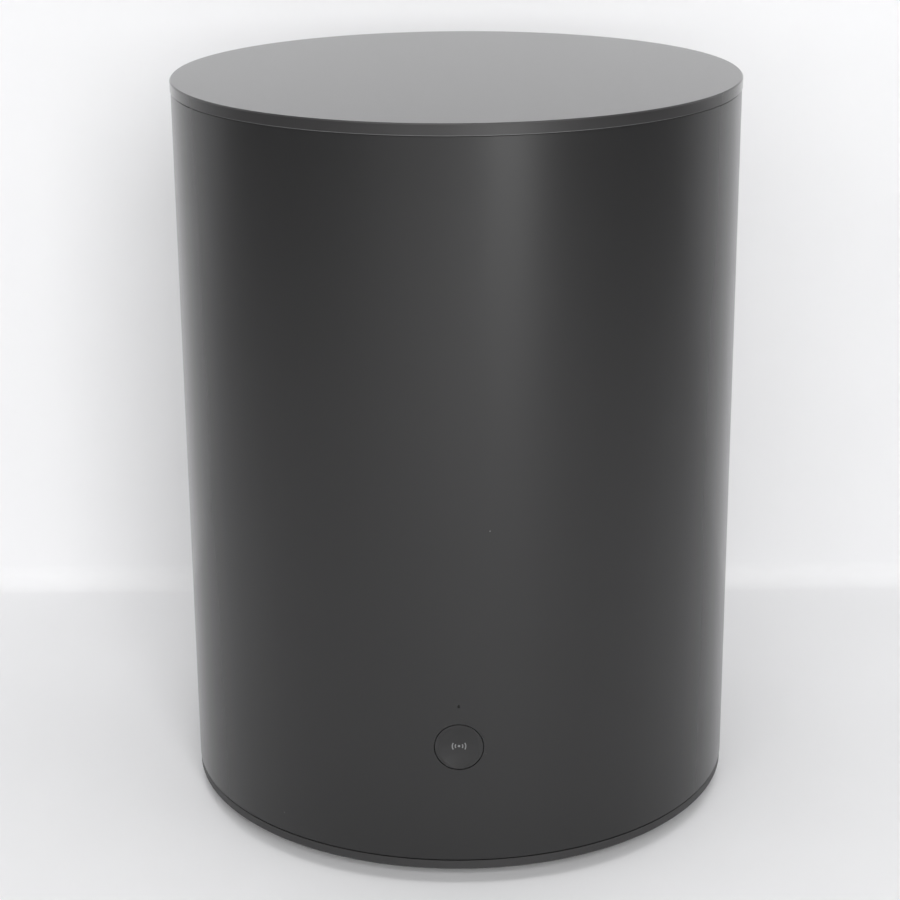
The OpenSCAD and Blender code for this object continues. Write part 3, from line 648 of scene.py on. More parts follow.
def printed_sign(name, colour):
    """Thin screen print, a little patchy at its edges."""
    made = Finish(name, colour, 0.55)
    ink = noise(made.tree, coordinates(made.tree), 5200.0, 2.0)
    made.feed("Base Color", made.toned(span(made.tree, ink, 0.25, 0.75, 0.82, 1.08)))
    made.bump(ink, 0.2, 0.01 * MM)
    return made


def stage_cloth(name, colour, roughness=0.85):
    """White studio cloth with faint broad folds and finer creases."""
    made = Finish(name, colour, roughness)
    tree = made.tree
    vector = coordinates(tree, (1, 0.55, 1), (0, 0, math.radians(28)))
    folds = noise(tree, vector, 7.0, 3.0, 0.5)
    creases = noise(tree, coordinates(tree, (0.4, 1, 1), (0, 0, math.radians(-14))), 16.0, 2.0, 0.4)
    height = maths(tree, "MULTIPLY_ADD", creases, 0.4, folds)
    made.feed("Base Color", made.toned(span(tree, folds, 0.2, 0.8, 0.975, 1.0)))
    made.bump(height, 0.16, 12 * MM)
    return made


# Every finish of the record, and the few that only new pieces have
RECIPES = {
    "shell_black": lambda: cabinet_coating(
        "Matte Wall", finish_settings().wall_colour, finish_settings().wall_roughness, 0.7),
    "cap_black": lambda: cabinet_coating(
        "Matte Cap", finish_settings().cap_colour, finish_settings().cap_roughness, 0.3),
    "base_black": lambda: moulded("Matte Base", (0.021, 0.0205, 0.021), 0.5),
    "button_black": lambda: moulded(
        "Satin Button", (0.0105, 0.0103, 0.0105), 0.28, grain=5200.0, depth=0.01 * MM),
    "tunnel_black": lambda: moulded("Matte Tunnel", (0.02, 0.02, 0.0205), 0.5, grain=1700.0, strength=0.4),
    "inner_plastic": lambda: moulded(
        "Inner Plastic", (0.045, 0.045, 0.048), 0.55, grain=1200.0, strength=0.4),
    "rubber_black": lambda: soft_rubber("Black Rubber", (0.017, 0.017, 0.017)),
    "foam_black": lambda: cell_foam("Cell Foam", (0.03, 0.03, 0.03)),
    "cone_black": lambda: lathe_plastic("Cone", (0.021, 0.021, 0.022), 0.42),
    "dust_cap_black": lambda: moulded("Dust Cap", (0.019, 0.019, 0.02), 0.36, grain=2000.0, strength=0.35),
    "basket_metal": lambda: moulded(
        "Painted Basket", (0.028, 0.028, 0.03), 0.4, grain=850.0, strength=0.5, depth=0.05 * MM),
    "plate_steel": lambda: turned_metal("Zinc Plate", (0.56, 0.57, 0.56), 0.36),
    "ferrite": lambda: ceramic_magnet("Ferrite", (0.075, 0.075, 0.08)),
    "coil_copper": lambda: copper_winding("Coil", (0.16, 0.07, 0.025), (0.72, 0.29, 0.12)),
    "spider_cloth": lambda: stiffened_cloth("Spider Cloth", (0.42, 0.27, 0.12)),
    "screw_steel": lambda: drawn_metal("Screw Steel", (0.5, 0.5, 0.51), 0.34),
    "board_green": lambda: circuit_board("Green Board", (0.012, 0.09, 0.04), (0.03, 0.2, 0.09)),
    "board_tan": lambda: circuit_board("Tan Board", (0.4, 0.26, 0.11), (0.52, 0.36, 0.17)),
    "socket_black": lambda: moulded("Socket", (0.022, 0.022, 0.023), 0.3, grain=3600.0, strength=0.15),
    "contact_brass": lambda: drawn_metal("Gilt Contact", (0.83, 0.6, 0.24), 0.26, (1, 1, 0.1)),
    "pin_nickel": lambda: drawn_metal("Nickel Pin", (0.72, 0.7, 0.66), 0.24, (1, 1, 0.1)),
    "heatsink_aluminium": lambda: drawn_metal("Extruded Aluminium", (0.72, 0.73, 0.74), 0.4, (1, 0.05, 1)),
    "shield_tin": lambda: drawn_metal("Tinned Shield", (0.66, 0.66, 0.64), 0.3, (0.2, 1, 1)),
    "transformer_core": lambda: taped_core("Taped Core", (0.05, 0.05, 0.055), (0.72, 0.5, 0.05)),
    "capacitor_sleeve": lambda: sleeved_capacitor("Sleeve", (0.016, 0.018, 0.04)),
    "lead_black": lambda: soft_rubber("Lead Black", (0.018, 0.018, 0.019), 0.5),
    "lead_white": lambda: soft_rubber("Lead White", (0.6, 0.59, 0.57), 0.5),
    "lens_clear": lambda: clear_guide("Clear Guide"),
    "lamp_white": lambda: moulded("Lamp", (0.75, 0.73, 0.6), 0.3, grain=4000.0),
    "strip_tan": lambda: tagged_strip("Terminal Strip", (0.3, 0.17, 0.07), (0.7, 0.6, 0.38)),
    "plunger_white": lambda: moulded("Plunger", (0.72, 0.71, 0.67), 0.4),
    "choke_copper": lambda: upright_winding("Choke Winding", (0.7, 0.28, 0.11)),
    "transformer_tape": lambda: moulded("Film Winding", (0.5, 0.09, 0.05), 0.35, grain=2600.0),
    "lead_red": lambda: soft_rubber("Lead Red", (0.42, 0.02, 0.016), 0.5),
    "control_green": lambda: circuit_board(
        "Upright Board", (0.012, 0.09, 0.04), (0.03, 0.2, 0.09), upright=True),
    # Grey of the cap bead: painted highlight, standing in for the light hairline of the wall's top chamfer
    "bead_painted_highlight": lambda: soft_rubber("Bead Painted Highlight", (0.12, 0.12, 0.121), 0.5),
    "sign": lambda: printed_sign("Sign Print", finish_settings().sign_colour),
}
MADE = {}


def finish_for(key):
    """One material of RECIPES, made when it is first asked for."""
    if key not in MADE:
        MADE[key] = RECIPES[key]().material
    return MADE[key]


def finish_settings():
    """The panel's colours and roughnesses."""
    return bpy.context.scene.subwoofer_finish


def sizes():
    """The panel's sizes."""
    return bpy.context.scene.subwoofer_sizes


# ---------- modelling helpers ----------


def clear_selection():
    """Leaves edit mode and deselects everything."""
    if bpy.context.object and bpy.context.object.mode != "OBJECT":
        bpy.ops.object.mode_set(mode="OBJECT")
    bpy.ops.object.select_all(action="DESELECT")


def started(name):
    """Names the primitive that was just added, puts its place into its mesh and opens it for editing."""
    piece = bpy.context.object
    piece.name = name
    piece.data.name = name
    bpy.ops.object.transform_apply(location=True, rotation=True, scale=True)
    bpy.ops.object.mode_set(mode="EDIT")
    bpy.ops.mesh.select_all(action="SELECT")
    return piece


def closed_up(piece, smooth_angle=35):
    """Merges doubles, turns the faces outwards and shades the piece."""
    bpy.ops.mesh.select_all(action="SELECT")
    bpy.ops.mesh.remove_doubles(threshold=0.001 * MM)
    bpy.ops.mesh.normals_make_consistent(inside=False)
    bpy.ops.object.mode_set(mode="OBJECT")
    bpy.ops.object.shade_smooth_by_angle(angle=math.radians(smooth_angle))
    return piece


def modify(piece, kind, **settings):
    """Adds a modifier with its settings and applies it."""
    clear_selection()
    piece.select_set(True)
    bpy.context.view_layer.objects.active = piece
    modifier = piece.modifiers.new(kind.title(), kind)
    for key, value in settings.items():
        setattr(modifier, key, value)
    bpy.ops.object.modifier_apply(modifier=modifier.name)
    return piece


def join(name, pieces):
    """Joins pieces into the first one."""
    clear_selection()
    for piece in pieces:
        piece.select_set(True)
    bpy.context.view_layer.objects.active = pieces[0]
    bpy.ops.object.join()
    pieces[0].name = name
    pieces[0].data.name = name
    return pieces[0]


def dress(piece, key):
    """Gives a piece its material."""
    piece.data.materials.clear()
    piece.data.materials.append(finish_for(key))
    return piece


def fit_to_cabinet(piece, key):
    """Dresses a piece that rides on the cabinet."""
    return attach(dress(piece, key), CABINET)


def turned_shell(name, points, axis=0, centre=(0, 0, AXIS_Z), thickness=1 * MM, sides=96):
    """A shell turned about a line along X, Y or Z (axis 0, 1 or 2), through points of place and radius."""
    def at(place):
        spot = Vector(centre)
        spot[axis] = place
        return spot

    clear_selection()
    place, radius = points[0]
    stand = ((0, math.pi / 2, 0), (math.pi / 2, 0, 0), (0, 0, 0))[axis]
    bpy.ops.mesh.primitive_circle_add(vertices=sides, radius=radius, location=at(place), rotation=stand)
    piece = started(name)
    for next_place, next_radius in points[1:]:
        step = [0, 0, 0]
        step[axis] = next_place - place
        grow = [next_radius / radius] * 3
        grow[axis] = 1
        bpy.ops.mesh.extrude_edges_move(TRANSFORM_OT_translate={"value": step})
        bpy.ops.transform.resize(value=grow, center_override=at(next_place))
        place, radius = next_place, next_radius
    closed_up(piece)
    modify(piece, "SOLIDIFY", thickness=thickness, offset=0, use_even_offset=True)
    bpy.ops.object.shade_smooth_by_angle(angle=math.radians(50))
    return piece


def block(name, low, high, bevel=0.3 * MM, segments=2):
    """A block between two corners with its edges rounded."""
    low, high = Vector(low), Vector(high)
    clear_selection()
    bpy.ops.mesh.primitive_cube_add(size=1, location=(low + high) / 2)
    piece = started(name)
    bpy.ops.transform.resize(value=high - low, center_override=(low + high) / 2)
    bpy.ops.mesh.bevel(offset=bevel, segments=segments, affect="EDGES")
    return closed_up(piece)


def drum(name, foot, radius, height, lip=0.3 * MM, sides=32):
    """An upright cylinder that stands on foot, with rounded rims."""
    clear_selection()
    bpy.ops.mesh.primitive_cylinder_add(
        vertices=sides, radius=radius, depth=height, location=Vector(foot) + Vector((0, 0, height / 2)))
    piece = started(name)
    bpy.ops.mesh.select_all(action="DESELECT")
    piece.update_from_editmode()
    select_edges(piece, lambda edge, points: abs(points[0].z - points[1].z) < 0.01 * MM)
    bpy.ops.mesh.bevel(offset=lip, segments=2, affect="EDGES")
    return closed_up(piece)


def select_edges(piece, wanted):
    """Selects the edges of the open mesh that wanted() says yes to."""
    mesh = bmesh.from_edit_mesh(piece.data)
    bpy.ops.mesh.select_mode(type="EDGE")
    mesh.edges.ensure_lookup_table()
    for edge in mesh.edges:
        edge.select_set(wanted(edge, [vert.co for vert in edge.verts]))
    bmesh.update_edit_mesh(piece.data)


def set_blend(piece, weight_at):
    """Works out weight_at(point) at each vertex of a blended piece, 0 for its first body and 1 for its second;
    the weights are not stored.
    """
    weights = [weight_at(vertex.co) for vertex in piece.data.vertices]


def radial_weight(inner, outer):
    """A smooth fall from 1 inside the inner radius about the woofers' axis to 0 outside the outer one."""
    def weight(point):
        reach = math.hypot(point.y, point.z - AXIS_Z)
        share = min(1, max(0, (outer - reach) / (outer - inner)))
        return share * share * (3 - 2 * share)
    return weight


# ---------- soft woofer pieces ----------


def make_surround(side_name, side):
    """Half roll that bulges towards the tunnel, between a lip glued to the cone and one under the flange."""
    low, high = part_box(f"{side_name}_surround")
    seat = max(abs(low.x), abs(high.x)) - 0.5 * MM
    outer_lip = (high.z - low.z) / 2 - 0.1 * MM
    roll = sizes().roll_radius
    roll_middle = 58.3 * MM
    glued = 4.2 * MM
    inner_lip = roll_middle - roll - glued
    steps = 20
    arc = [(seat - roll * math.sin(math.pi * i / steps), roll_middle - roll * math.cos(math.pi * i / steps))
           for i in range(steps + 1)]
    flat = [(seat, inner_lip), (seat, inner_lip + glued / 3)]
    points = [(side * place, radius) for place, radius in flat + arc + [(seat, outer_lip)]]
    piece = turned_shell(f"{side_name}_half_roll", points, thickness=0.95 * MM, sides=128)
    dress(piece, "rubber_black")
    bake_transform(piece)
    set_blend(piece, radial_weight(roll_middle - roll, roll_middle + roll))
    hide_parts(f"{side_name}_surround")


def make_spider(side_name, side):
    """Corrugated disc of stiffened cloth between the coil's neck and the basket."""
    low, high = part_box(f"{side_name}_spider")
    outer = (high.z - low.z) / 2 - 0.1 * MM
    inner = 20.2 * MM
    seat = (abs(low.x) + abs(high.x)) / 2
    flat = 3 * MM
    waves = sizes().spider_waves
    steps = waves * 10
    depth = 1.1 * MM
    points = [(side * seat, inner)]
    for i in range(steps + 1):
        share = i / steps
        place = seat + depth * math.sin(math.tau * waves * share)
        points.append((side * place, inner + flat + (outer - inner - 2 * flat) * share))
    points.append((side * seat, outer))
    piece = turned_shell(f"{side_name}_corrugated_spider", points, thickness=0.45 * MM)
    dress(piece, "spider_cloth")
    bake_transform(piece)
    set_blend(piece, radial_weight(inner + flat / 2, outer - flat / 2))
    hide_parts(f"{side_name}_spider")


# ---------- controls ----------


def arc_strip(centre, radius, width, middle_angle, half_angle):
    """A flat arc that faces -Y, about a centre."""
    clear_selection()
    bpy.ops.mesh.primitive_circle_add(vertices=180, radius=radius - width / 2, location=centre,
                                      rotation=(math.pi / 2, 0, 0))
    piece = started("arc")
    mesh = bmesh.from_edit_mesh(piece.data)
    bpy.ops.mesh.select_all(action="DESELECT")
    for vertex in mesh.verts:
        place = vertex.co - Vector(centre)
        turn = math.atan2(place.z, place.x) - middle_angle
        turn = (turn + math.pi) % math.tau - math.pi
        vertex.select_set(abs(turn) > half_angle)
    bmesh.update_edit_mesh(piece.data)
    bpy.ops.mesh.delete(type="VERT")
    bpy.ops.mesh.select_all(action="SELECT")
    bpy.ops.mesh.extrude_edges_move(TRANSFORM_OT_translate={"value": (0, 0, 0)})
    grow = (radius + width / 2) / (radius - width / 2)
    bpy.ops.transform.resize(value=(grow, 1, grow), center_override=centre)
    bpy.ops.object.mode_set(mode="OBJECT")
    return piece


def flat_dot(centre, radius):
    """A flat disc that faces -Y."""
    clear_selection()
    bpy.ops.mesh.primitive_circle_add(vertices=32, radius=radius, fill_type="TRIFAN", location=centre,
                                      rotation=(math.pi / 2, 0, 0))
    piece = started("dot")
    bpy.ops.mesh.subdivide(number_cuts=2)
    bpy.ops.object.mode_set(mode="OBJECT")
    return piece


# ---------- leads ----------

# Routes of the inner leads, in millimetres
WOOFER_ROUTE = [
    (62.4, 0, 96.2), (62.4, 0, 94), (61.8, 2.5, 89.5), (60.5, 11, 76), (60, 21, 64), (60, 28.5, 54),
    (60, 30, 46), (60, 30, 36), (60, 30, 28), (60, 30, 16.7)]
CONTROL_ROUTE = [
    (16, -98.4, 54), (16, -96.5, 50), (16, -92.4, 46), (16, -92, 43), (16, -92, 38), (16, -92, 33),
    (20, -90, 27), (33, -81.5, 24), (42, -71, 23), (49, -58, 22), (52, -50.4, 20), (52, -50, 18.5),
    (52, -50, 16.7)]
MAINS_ROUTE = [
    (-20, -44.5, 31), (-20, -41, 31), (-22, -37, 30.6), (-27, -32, 29.5), (-34, -28, 27),
    (-39.5, -26.3, 23.5), (-42, -26, 19.5), (-42, -26, 16.7)]


def smooth_line(route, spacing, side=1):
    """Points along a smooth curve through a route, in metres; side -1 mirrors it in X."""
    points = [Vector((side * x, y, z)) * MM for x, y, z in route]
    line = []
    for i in range(len(points) - 1):
        a, b, c, d = points[max(i - 1, 0)], points[i], points[i + 1], points[min(i + 2, len(points) - 1)]
        steps = max(2, round((c - b).length / spacing))
        for step in range(steps):
            t = step / steps
            line.append(0.5 * (2 * b + (c - a) * t + (2 * a - 5 * b + 4 * c - d) * t * t
                               + (3 * b - a - 3 * c + d) * t * t * t))
    return line + [points[-1]]


def twisted_lead(name, line, strand_radius, colours):
    """Strands laid round each other along a line that never runs along X."""
    pitch = sizes().turn_pitch
    curve = bpy.data.curves.new(name, "CURVE")
    curve.dimensions = "3D"
    curve.bevel_depth = strand_radius
    curve.bevel_resolution = 2
    curve.use_fill_caps = True
    lay = strand_radius / math.sin(math.pi / len(colours))
    for strand, colour in enumerate(colours):
        curve.materials.append(finish_for(colour))
        spline = curve.splines.new("POLY")
        spline.points.add(len(line) - 1)
        spline.material_index = strand
        run = 0
        for i, point in enumerate(line):
            run += (point - line[i - 1]).length if i else 0
            along = (line[min(i + 1, len(line) - 1)] - line[max(i - 1, 0)]).normalized()
            across = Vector((1, 0, 0)).cross(along).normalized()
            turn = math.tau * (run / pitch + strand / len(colours))
            offset = lay * (math.cos(turn) * across + math.sin(turn) * along.cross(across))
            spline.points[i].co = (*(point + offset), 1)
    piece = bpy.data.objects.new(name, curve)
    bpy.context.scene.collection.objects.link(piece)
    clear_selection()
    piece.select_set(True)
    bpy.context.view_layer.objects.active = piece
    bpy.ops.object.convert(target="MESH")
    bpy.ops.object.shade_smooth_by_angle(angle=math.radians(50))
    return bpy.context.object


def lay_lead(node, name, line, strand_radius, colours):
    """A twisted lead along a line, in the place of its plain node."""
    lead = twisted_lead(name, line, strand_radius, colours)
    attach(lead, CABINET)
    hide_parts(node)


# ---------- board parts ----------


def on_board(x, y):
    """A place on the boards' upper faces, from millimetres."""
    return x * MM, y * MM, BOARD_TOP


def pinned_chip(name, foot, size, pins):
    """A black chip with flat pins along two sides, standing on its board."""
    foot = Vector(foot)
    width, depth, height = size
    body = block(name, foot + Vector((-width / 2, -depth / 2, 0.15 * MM)),
                 foot + Vector((width / 2, depth / 2, height)), bevel=0.12 * MM, segments=1)
    legs = []
    row_length = width - 0.8 * MM
    half_pin, pin_height = 0.15 * MM, 0.25 * MM
    for row in (-1, 1):
        near, far = sorted(foot.y + row * (depth / 2 + out * MM) for out in (-0.1, 0.7))
        for i in range(pins):
            x = foot.x - row_length / 2 + i * row_length / (pins - 1)
            legs.append(block("leg", (x - half_pin, near, foot.z), (x + half_pin, far, foot.z + pin_height),
                              bevel=0.04 * MM, segments=1))
    legs = join(f"{name}_legs", legs)
    fit_to_cabinet(body, "socket_black")
    fit_to_cabinet(legs, "pin_nickel")


def lead_connector(name, foot, size):
    """Pale housing that a lead plugs into, with a step and two latching ribs."""
    x, y, z = foot
    width, depth, height = size
    parts = [
        block("base", (x - width / 2, y - depth / 2, z), (x + width / 2, y + depth / 2, z + height * 0.55)),
        block("plug", (x - width * 0.4, y - depth * 0.34, z + height * 0.5),
              (x + width * 0.4, y + depth * 0.34, z + height)),
    ]
    for rib in (x - width * 0.26, x + width * 0.26):
        parts.append(block("rib", (rib - 0.4 * MM, y - depth * 0.52, z + height * 0.2),
                           (rib + 0.4 * MM, y - depth * 0.3, z + height * 0.92), bevel=0.1 * MM))
    fit_to_cabinet(join(name, parts), "plunger_white")


def wound_choke(name, foot, radius, height):
    """Drum choke: a copper winding between two ferrite flanges."""
    x, y, z = foot
    flanges = [drum("flange", (x, y, z + level), radius, height * 0.2) for level in (0, height * 0.8)]
    fit_to_cabinet(join(f"{name}_core", flanges), "ferrite")
    clear_selection()
    bpy.ops.mesh.primitive_cylinder_add(vertices=32, radius=radius * 0.86, depth=height * 0.62,
                                        location=(x, y, z + height / 2), end_fill_type="NOTHING")
    winding = started(f"{name}_winding")
    bpy.ops.mesh.subdivide(number_cuts=5)
    fit_to_cabinet(closed_up(winding, 60), "choke_copper")


# ---------- stage ----------


def aimed_light(name, place, aim, width, height, watts):
    """A soft box at place that faces aim."""
    data = bpy.data.lights.new(name, "AREA")
    data.shape = "RECTANGLE"
    data.size = width
    data.size_y = height
    data.energy = watts
    lamp = bpy.data.objects.new(name, data)
    bpy.context.scene.collection.objects.link(lamp)
    lamp.location = place
    lamp.rotation_euler = (Vector(aim) - Vector(place)).to_track_quat("-Z", "Y").to_euler()
    lamp.visible_camera = False
    return lamp


def make_backdrop(settings):
    """Cloth on the floor and up a wall close behind, joined by a small cove."""
    width, depth, rise, cove = 6.0, 4.0, 1.25, 0.012
    back = settings.wall_distance
    clear_selection()
    floor_middle = (0, back - cove - depth / 2, 0)
    bpy.ops.mesh.primitive_plane_add(size=1, location=floor_middle)
    floor = started("studio_floor")
    bpy.ops.transform.resize(value=(width, depth, 1), center_override=floor_middle)
    mesh = bmesh.from_edit_mesh(floor.data)
    bpy.ops.mesh.select_mode(type="EDGE")
    bpy.ops.mesh.select_all(action="DESELECT")
    for edge in mesh.edges:
        edge.select_set(all(vert.co.y > back - cove - 0.01 for vert in edge.verts))
    bmesh.update_edit_mesh(floor.data)
    steps = 12
    for i in range(steps):
        before, after = (math.pi / 2 * turn / steps for turn in (i, i + 1))
        bpy.ops.mesh.extrude_edges_move(TRANSFORM_OT_translate={"value": (
            0, cove * (math.sin(after) - math.sin(before)), cove * (math.cos(before) - math.cos(after)))})
    bpy.ops.mesh.extrude_edges_move(TRANSFORM_OT_translate={"value": (0, 0, rise)})
    bpy.ops.mesh.select_mode(type="VERT")
    closed_up(floor, 60)
    ground = max(floor.data.polygons, key=lambda face: abs(face.normal.z) * face.area)
    if ground.normal.z < 0:
        floor.data.flip_normals()
    floor.data.materials.append(one_sided(stage_cloth("Studio Cloth", settings.cloth_colour)))


def one_sided(made):
    """Lets the backs of the cloth's faces be seen through, so that views from behind it aren't shut off."""
    tree = made.tree
    back = tree.nodes.new("ShaderNodeNewGeometry").outputs["Backfacing"]
    clear = tree.nodes.new("ShaderNodeBsdfTransparent")
    mixed = tree.nodes.new("ShaderNodeMixShader")
    tree.links.new(back, mixed.inputs[0])
    tree.links.new(made.shader.outputs[0], mixed.inputs[1])
    tree.links.new(clear.outputs[0], mixed.inputs[2])
    tree.links.new(mixed.outputs[0], tree.nodes["Material Output"].inputs["Surface"])
    return made.material


def make_camera(settings):
    """A camera on its own line of sight, level but for its dip and roll."""
    data = bpy.data.cameras.new("studio_camera")
    data.lens = settings.lens
    data.sensor_width = 36
    data.clip_start = 0.05
    camera = bpy.data.objects.new("studio_camera", data)
    bpy.context.scene.collection.objects.link(camera)
    turn = (Matrix.Rotation(settings.camera_turn, 4, "Z")
            @ Matrix.Rotation(math.pi / 2 - settings.camera_dip, 4, "X")
            @ Matrix.Rotation(settings.camera_roll, 4, "Z"))
    camera.matrix_world = Matrix.Translation(settings.camera_place) @ turn
    bpy.context.scene.camera = camera


def make_sky(settings):
    """Even white light all round."""
    world = bpy.context.scene.world or bpy.data.worlds.new("Studio")
    bpy.context.scene.world = world
    world.use_nodes = True
    surround = world.node_tree.nodes["Background"]
    surround.inputs["Color"].default_value = (1, 1, 1, 1)
    surround.inputs["Strength"].default_value = settings.sky


# ---------- operators ----------


class SUBWOOFER_OT_finishes(bpy.types.Operator):
    """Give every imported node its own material"""
    bl_idname = "subwoofer.finishes"
    bl_label = "Node finishes"

    def execute(self, context):
        for row in frame["record"]["subparts"]:
            node = CAD[row["node"]]
            key = "control_green" if row["node"] == "control_board" else row["material_slot"]
            node.data.materials.clear()
            node.data.materials.append(finish_for(key))
        return {"FINISHED"}


class SUBWOOFER_OT_surrounds(bpy.types.Operator):
    """Make the rubber half rolls that carry the two cones"""
    bl_idname = "subwoofer.surrounds"
    bl_label = "Surrounds"

    def execute(self, context):
        for side_name, side in SIDES.items():
            make_surround(side_name, side)
        return {"FINISHED"}


class SUBWOOFER_OT_spiders(bpy.types.Operator):
    """Make the corrugated cloth discs that centre the two coils"""
    bl_idname = "subwoofer.spiders"
    bl_label = "Spiders"

    def execute(self, context):
        for side_name, side in SIDES.items():
            make_spider(side_name, side)
        return {"FINISHED"}


class SUBWOOFER_OT_button_sign(bpy.types.Operator):
    """Print the pairing sign, a dot between two pairs of arcs, on the button's dished face"""
    bl_idname = "subwoofer.button_sign"
    bl_label = "Button sign"

    def execute(self, context):
        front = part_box("button_cap")[0].y - 1 * MM
        centre = (0, front, BUTTON_Z)
        reach, line = sizes().sign_width / 2, sizes().sign_line
        strips = [flat_dot(centre, reach * 0.17)]
        for share in (0.52, 1 - line / reach / 2):
            for middle_angle in (0, math.pi):
                strips.append(arc_strip(centre, reach * share, line, middle_angle, math.radians(33)))
        piece = join("button_sign", strips)
        modify(piece, "SHRINKWRAP", target=CAD["button_cap"], wrap_method="PROJECT", use_project_y=True,
               use_negative_direction=True, use_positive_direction=True, offset=0.03 * MM)
        modify(piece, "SOLIDIFY", thickness=0.02 * MM, offset=0)
        dress(piece, "sign")
        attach(piece, "button")
        return {"FINISHED"}


class SUBWOOFER_OT_button_boot(bpy.types.Operator):
    """Make the silicone boot behind the button, with a soft fold between its foot and its crown"""
    bl_idname = "subwoofer.button_boot"
    bl_label = "Button boot"

    def execute(self, context):
        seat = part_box("button_seal")[1].y
        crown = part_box("button_seal")[0].y
        skin = 0.55 * MM
        depth = seat - crown - skin
        foot = [(seat - skin / 2, 9.4 * MM), (seat - skin / 2, 10.4 * MM)]
        steps = 10
        fold = []
        for share in (i / steps for i in range(steps + 1)):
            ripple = 0.22 * math.sin(math.tau * share)
            fold.append((seat - skin / 2 - depth * (0.08 + 0.84 * share), (10.45 - 2.2 * share + ripple) * MM))
        top = [(crown + skin / 2, 7.9 * MM), (crown + skin / 2, 6.5 * MM)]
        piece = turned_shell("button_boot", foot + fold + top, axis=1, centre=(0, 0, BUTTON_Z),
                             thickness=skin, sides=64)
        fit_to_cabinet(piece, "rubber_black")
        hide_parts("button_seal")
        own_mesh(piece)
        return {"FINISHED"}


class SUBWOOFER_OT_cap_bead(bpy.types.Operator):
    """Fit the thin bead that fills the seam between the cap and the wall, seen as a hairline. Its grey is
    painted highlight, standing in for the light line that the wall's top chamfer catches.
    """
    bl_idname = "subwoofer.cap_bead"
    bl_label = "Cap bead"

    def execute(self, context):
        wall_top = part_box("cabinet_shell")[1].z
        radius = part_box("cabinet_shell")[1].x - 0.25 * MM
        piece = turned_shell("cap_bead", [(wall_top - 0.05 * MM, radius), (wall_top + 0.26 * MM, radius)],
                             axis=2, centre=(0, 0, 0), thickness=0.2 * MM, sides=192)
        # The bead's grey is painted highlight along the seam
        fit_to_cabinet(piece, "bead_painted_highlight")
        return {"FINISHED"}


class SUBWOOFER_OT_leads(bpy.types.Operator):
    """Lay the woofer leads, the control lead and the mains lead"""
    bl_idname = "subwoofer.leads"
    bl_label = "Inner leads"

    def execute(self, context):
        for side_name, side in SIDES.items():
            lay_lead("woofer_leads", f"{side_name}_woofer_lead", smooth_line(WOOFER_ROUTE, 1.2 * MM, side),
                     sizes().strand_radius, ("lead_red", "lead_black"))
        lay_lead("control_lead", "control_wires", smooth_line(CONTROL_ROUTE, 1.2 * MM), 0.5 * MM,
                 ("lead_black", "lead_white", "lead_black"))
        lay_lead("mains_lead", "mains_wires", smooth_line(MAINS_ROUTE, 1 * MM), 0.72 * MM,
                 ("lead_white", "lead_black"))
        return {"FINISHED"}


class SUBWOOFER_OT_board_parts(bpy.types.Operator):
    """Stand the chips, chokes, sockets and small parts on the boards"""
    bl_idname = "subwoofer.board_parts"
    bl_label = "Board parts"

    def execute(self, context):
        for side_name, side in SIDES.items():
            lead_connector(f"{side_name}_lead_socket", on_board(side * 60, 30), (10 * MM, 6.4 * MM, 7 * MM))
            wound_choke(f"{side_name}_output_choke", on_board(side * 16, 47), 6.5 * MM, 9 * MM)
            pinned_chip(f"{side_name}_driver_chip", on_board(side * 52, 17),
                        (9.7 * MM, 6.1 * MM, 1.7 * MM), 8)
        pinned_chip("control_chip", on_board(0, 54), (6.5 * MM, 4.4 * MM, 1.2 * MM), 7)
        lead_connector("control_lead_socket", on_board(52, -50), (8 * MM, 5 * MM, 5 * MM))
        lead_connector("mains_lead_socket", on_board(-42, -26), (6 * MM, 7.5 * MM, 7 * MM))
        fit_to_cabinet(drum("mains_fuse", on_board(-44, -40), 4.2 * MM, 7.5 * MM), "socket_black")
        film_top = (-52 * MM, -44 * MM, BOARD_TOP + 12 * MM)
        film = block("film_capacitor", on_board(-68, -51.5), film_top, bevel=0.8 * MM, segments=3)
        fit_to_cabinet(film, "transformer_tape")
        pinned_chip("network_chip", on_board(66, -10), (7.8 * MM, 5.3 * MM, 1.4 * MM), 10)
        crystal_top = (57 * MM, -9 * MM, BOARD_TOP + 1.3 * MM)
        fit_to_cabinet(block("clock_crystal", on_board(52, -12), crystal_top, bevel=0.4 * MM), "shield_tin")
        return {"FINISHED"}


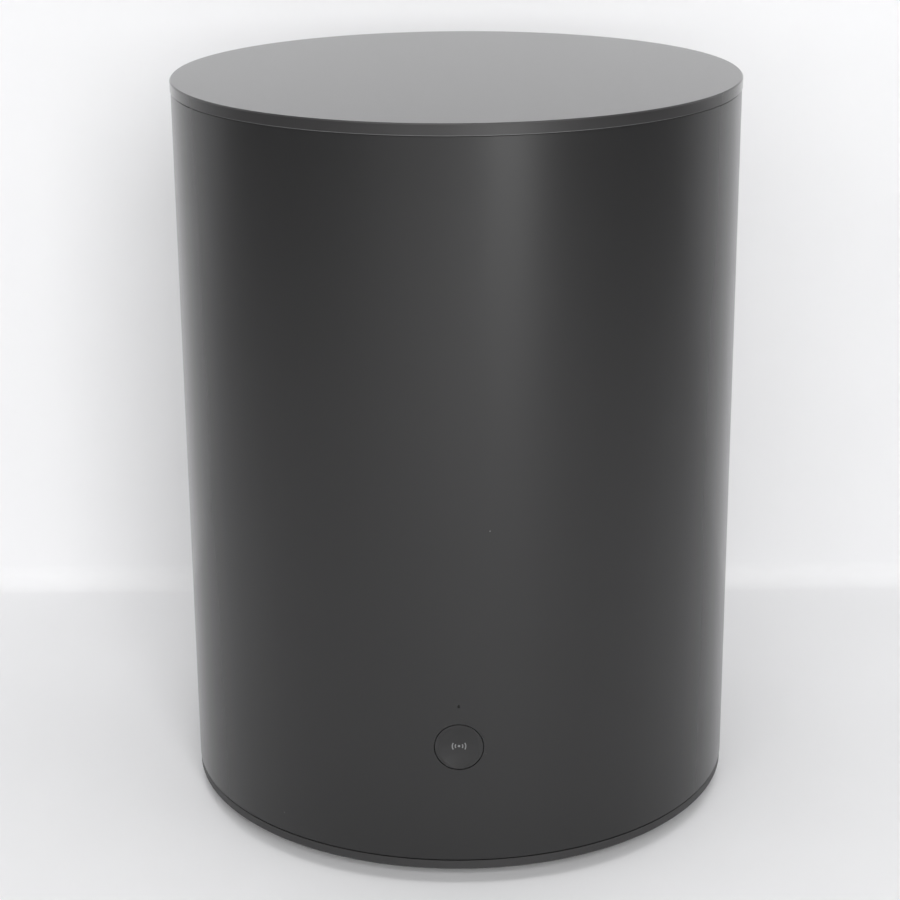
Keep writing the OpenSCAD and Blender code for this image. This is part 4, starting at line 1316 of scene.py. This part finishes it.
class SUBWOOFER_OT_stage(bpy.types.Operator):
    """Set up the camera, the cloth backdrop and the soft lights"""
    bl_idname = "subwoofer.stage"
    bl_label = "Studio"

    def execute(self, context):
        settings = context.scene.subwoofer_stage
        context.scene.view_settings.view_transform = "Standard"
        make_camera(settings)
        make_backdrop(settings)
        make_sky(settings)
        body = (0, 0, cad_high.z * 0.6)
        key = aimed_light("key_box", (0.42, -1.5, 0.75), body, 0.4, 0.8, settings.key_watts)
        key.visible_diffuse = False
        even = aimed_light("even_box", (0.2, -1.5, 0.75), body, 0.6, 0.8, settings.even_watts)
        even.visible_glossy = False
        aimed_light("fill_box", (-0.5, -1.6, 0.8), body, 0.9, 0.9, settings.fill_watts)
        low = aimed_light("low_box", (0.55, -1.4, 0.11), body, 0.42, 0.22, settings.low_watts)
        low.visible_diffuse = False
        aimed_light("top_box", (0, -0.1, 1.3), (0, -0.1, 0), 1.0, 0.8, settings.top_watts)
        aimed_light("wash_box", (0, -0.35, 1.15), (0, settings.wall_distance, 0.4), 1.8, 0.35,
                    settings.wash_watts)
        slot = (0, settings.wall_distance - 0.01, middle("tunnel_liner").z)
        gridded = aimed_light("slot_box", slot, (0, 0, slot[2]), 0.06, 0.2, settings.slot_watts)
        gridded.data.spread = math.radians(50)
        disc = aimed_light("base_box", (0, 0, 0.5 * MM), (0, 0, cad_high.z), 0.15, 0.15, settings.base_watts)
        disc.data.shape = "DISK"
        for lamp in (gridded, disc):
            lamp.visible_glossy = False
        return {"FINISHED"}


class SUBWOOFER_PT_panel(bpy.types.Panel):
    """Sidebar panel that lists the pieces and their settings"""
    bl_idname = "SUBWOOFER_PT_panel"
    bl_label = "Subwoofer"
    bl_space_type = "VIEW_3D"
    bl_region_type = "UI"
    bl_category = "Subwoofer"

    def draw(self, context):
        scene = context.scene
        for group in (scene.subwoofer_sizes, scene.subwoofer_finish, scene.subwoofer_stage):
            box = self.layout.box()
            for key in group.__annotations__:
                box.prop(group, key)
        for operator in OPERATORS:
            self.layout.operator(operator.bl_idname)


OPERATORS = (
    SUBWOOFER_OT_stage,
    SUBWOOFER_OT_finishes,
    SUBWOOFER_OT_surrounds,
    SUBWOOFER_OT_spiders,
    SUBWOOFER_OT_button_sign,
    SUBWOOFER_OT_button_boot,
    SUBWOOFER_OT_cap_bead,
    SUBWOOFER_OT_leads,
    SUBWOOFER_OT_board_parts,
)
CLASSES = (SubwooferSizes, SubwooferFinish, StageSettings, *OPERATORS, SUBWOOFER_PT_panel)


def register():
    for made in CLASSES:
        bpy.utils.register_class(made)
    bpy.types.Scene.subwoofer_sizes = PointerProperty(type=SubwooferSizes)
    bpy.types.Scene.subwoofer_finish = PointerProperty(type=SubwooferFinish)
    bpy.types.Scene.subwoofer_stage = PointerProperty(type=StageSettings)


def unregister():
    del bpy.types.Scene.subwoofer_stage
    del bpy.types.Scene.subwoofer_finish
    del bpy.types.Scene.subwoofer_sizes
    for made in reversed(CLASSES):
        bpy.utils.unregister_class(made)


def main():
    """Makes everything in order."""
    register()
    build_groups()
    bpy.ops.subwoofer.stage()
    bpy.ops.subwoofer.finishes()
    bpy.ops.subwoofer.surrounds()
    bpy.ops.subwoofer.spiders()
    bpy.ops.subwoofer.button_sign()
    bpy.ops.subwoofer.button_boot()
    bpy.ops.subwoofer.cap_bead()
    bpy.ops.subwoofer.leads()
    bpy.ops.subwoofer.board_parts()
    clear_selection()


if __name__ == "__main__":
    main()
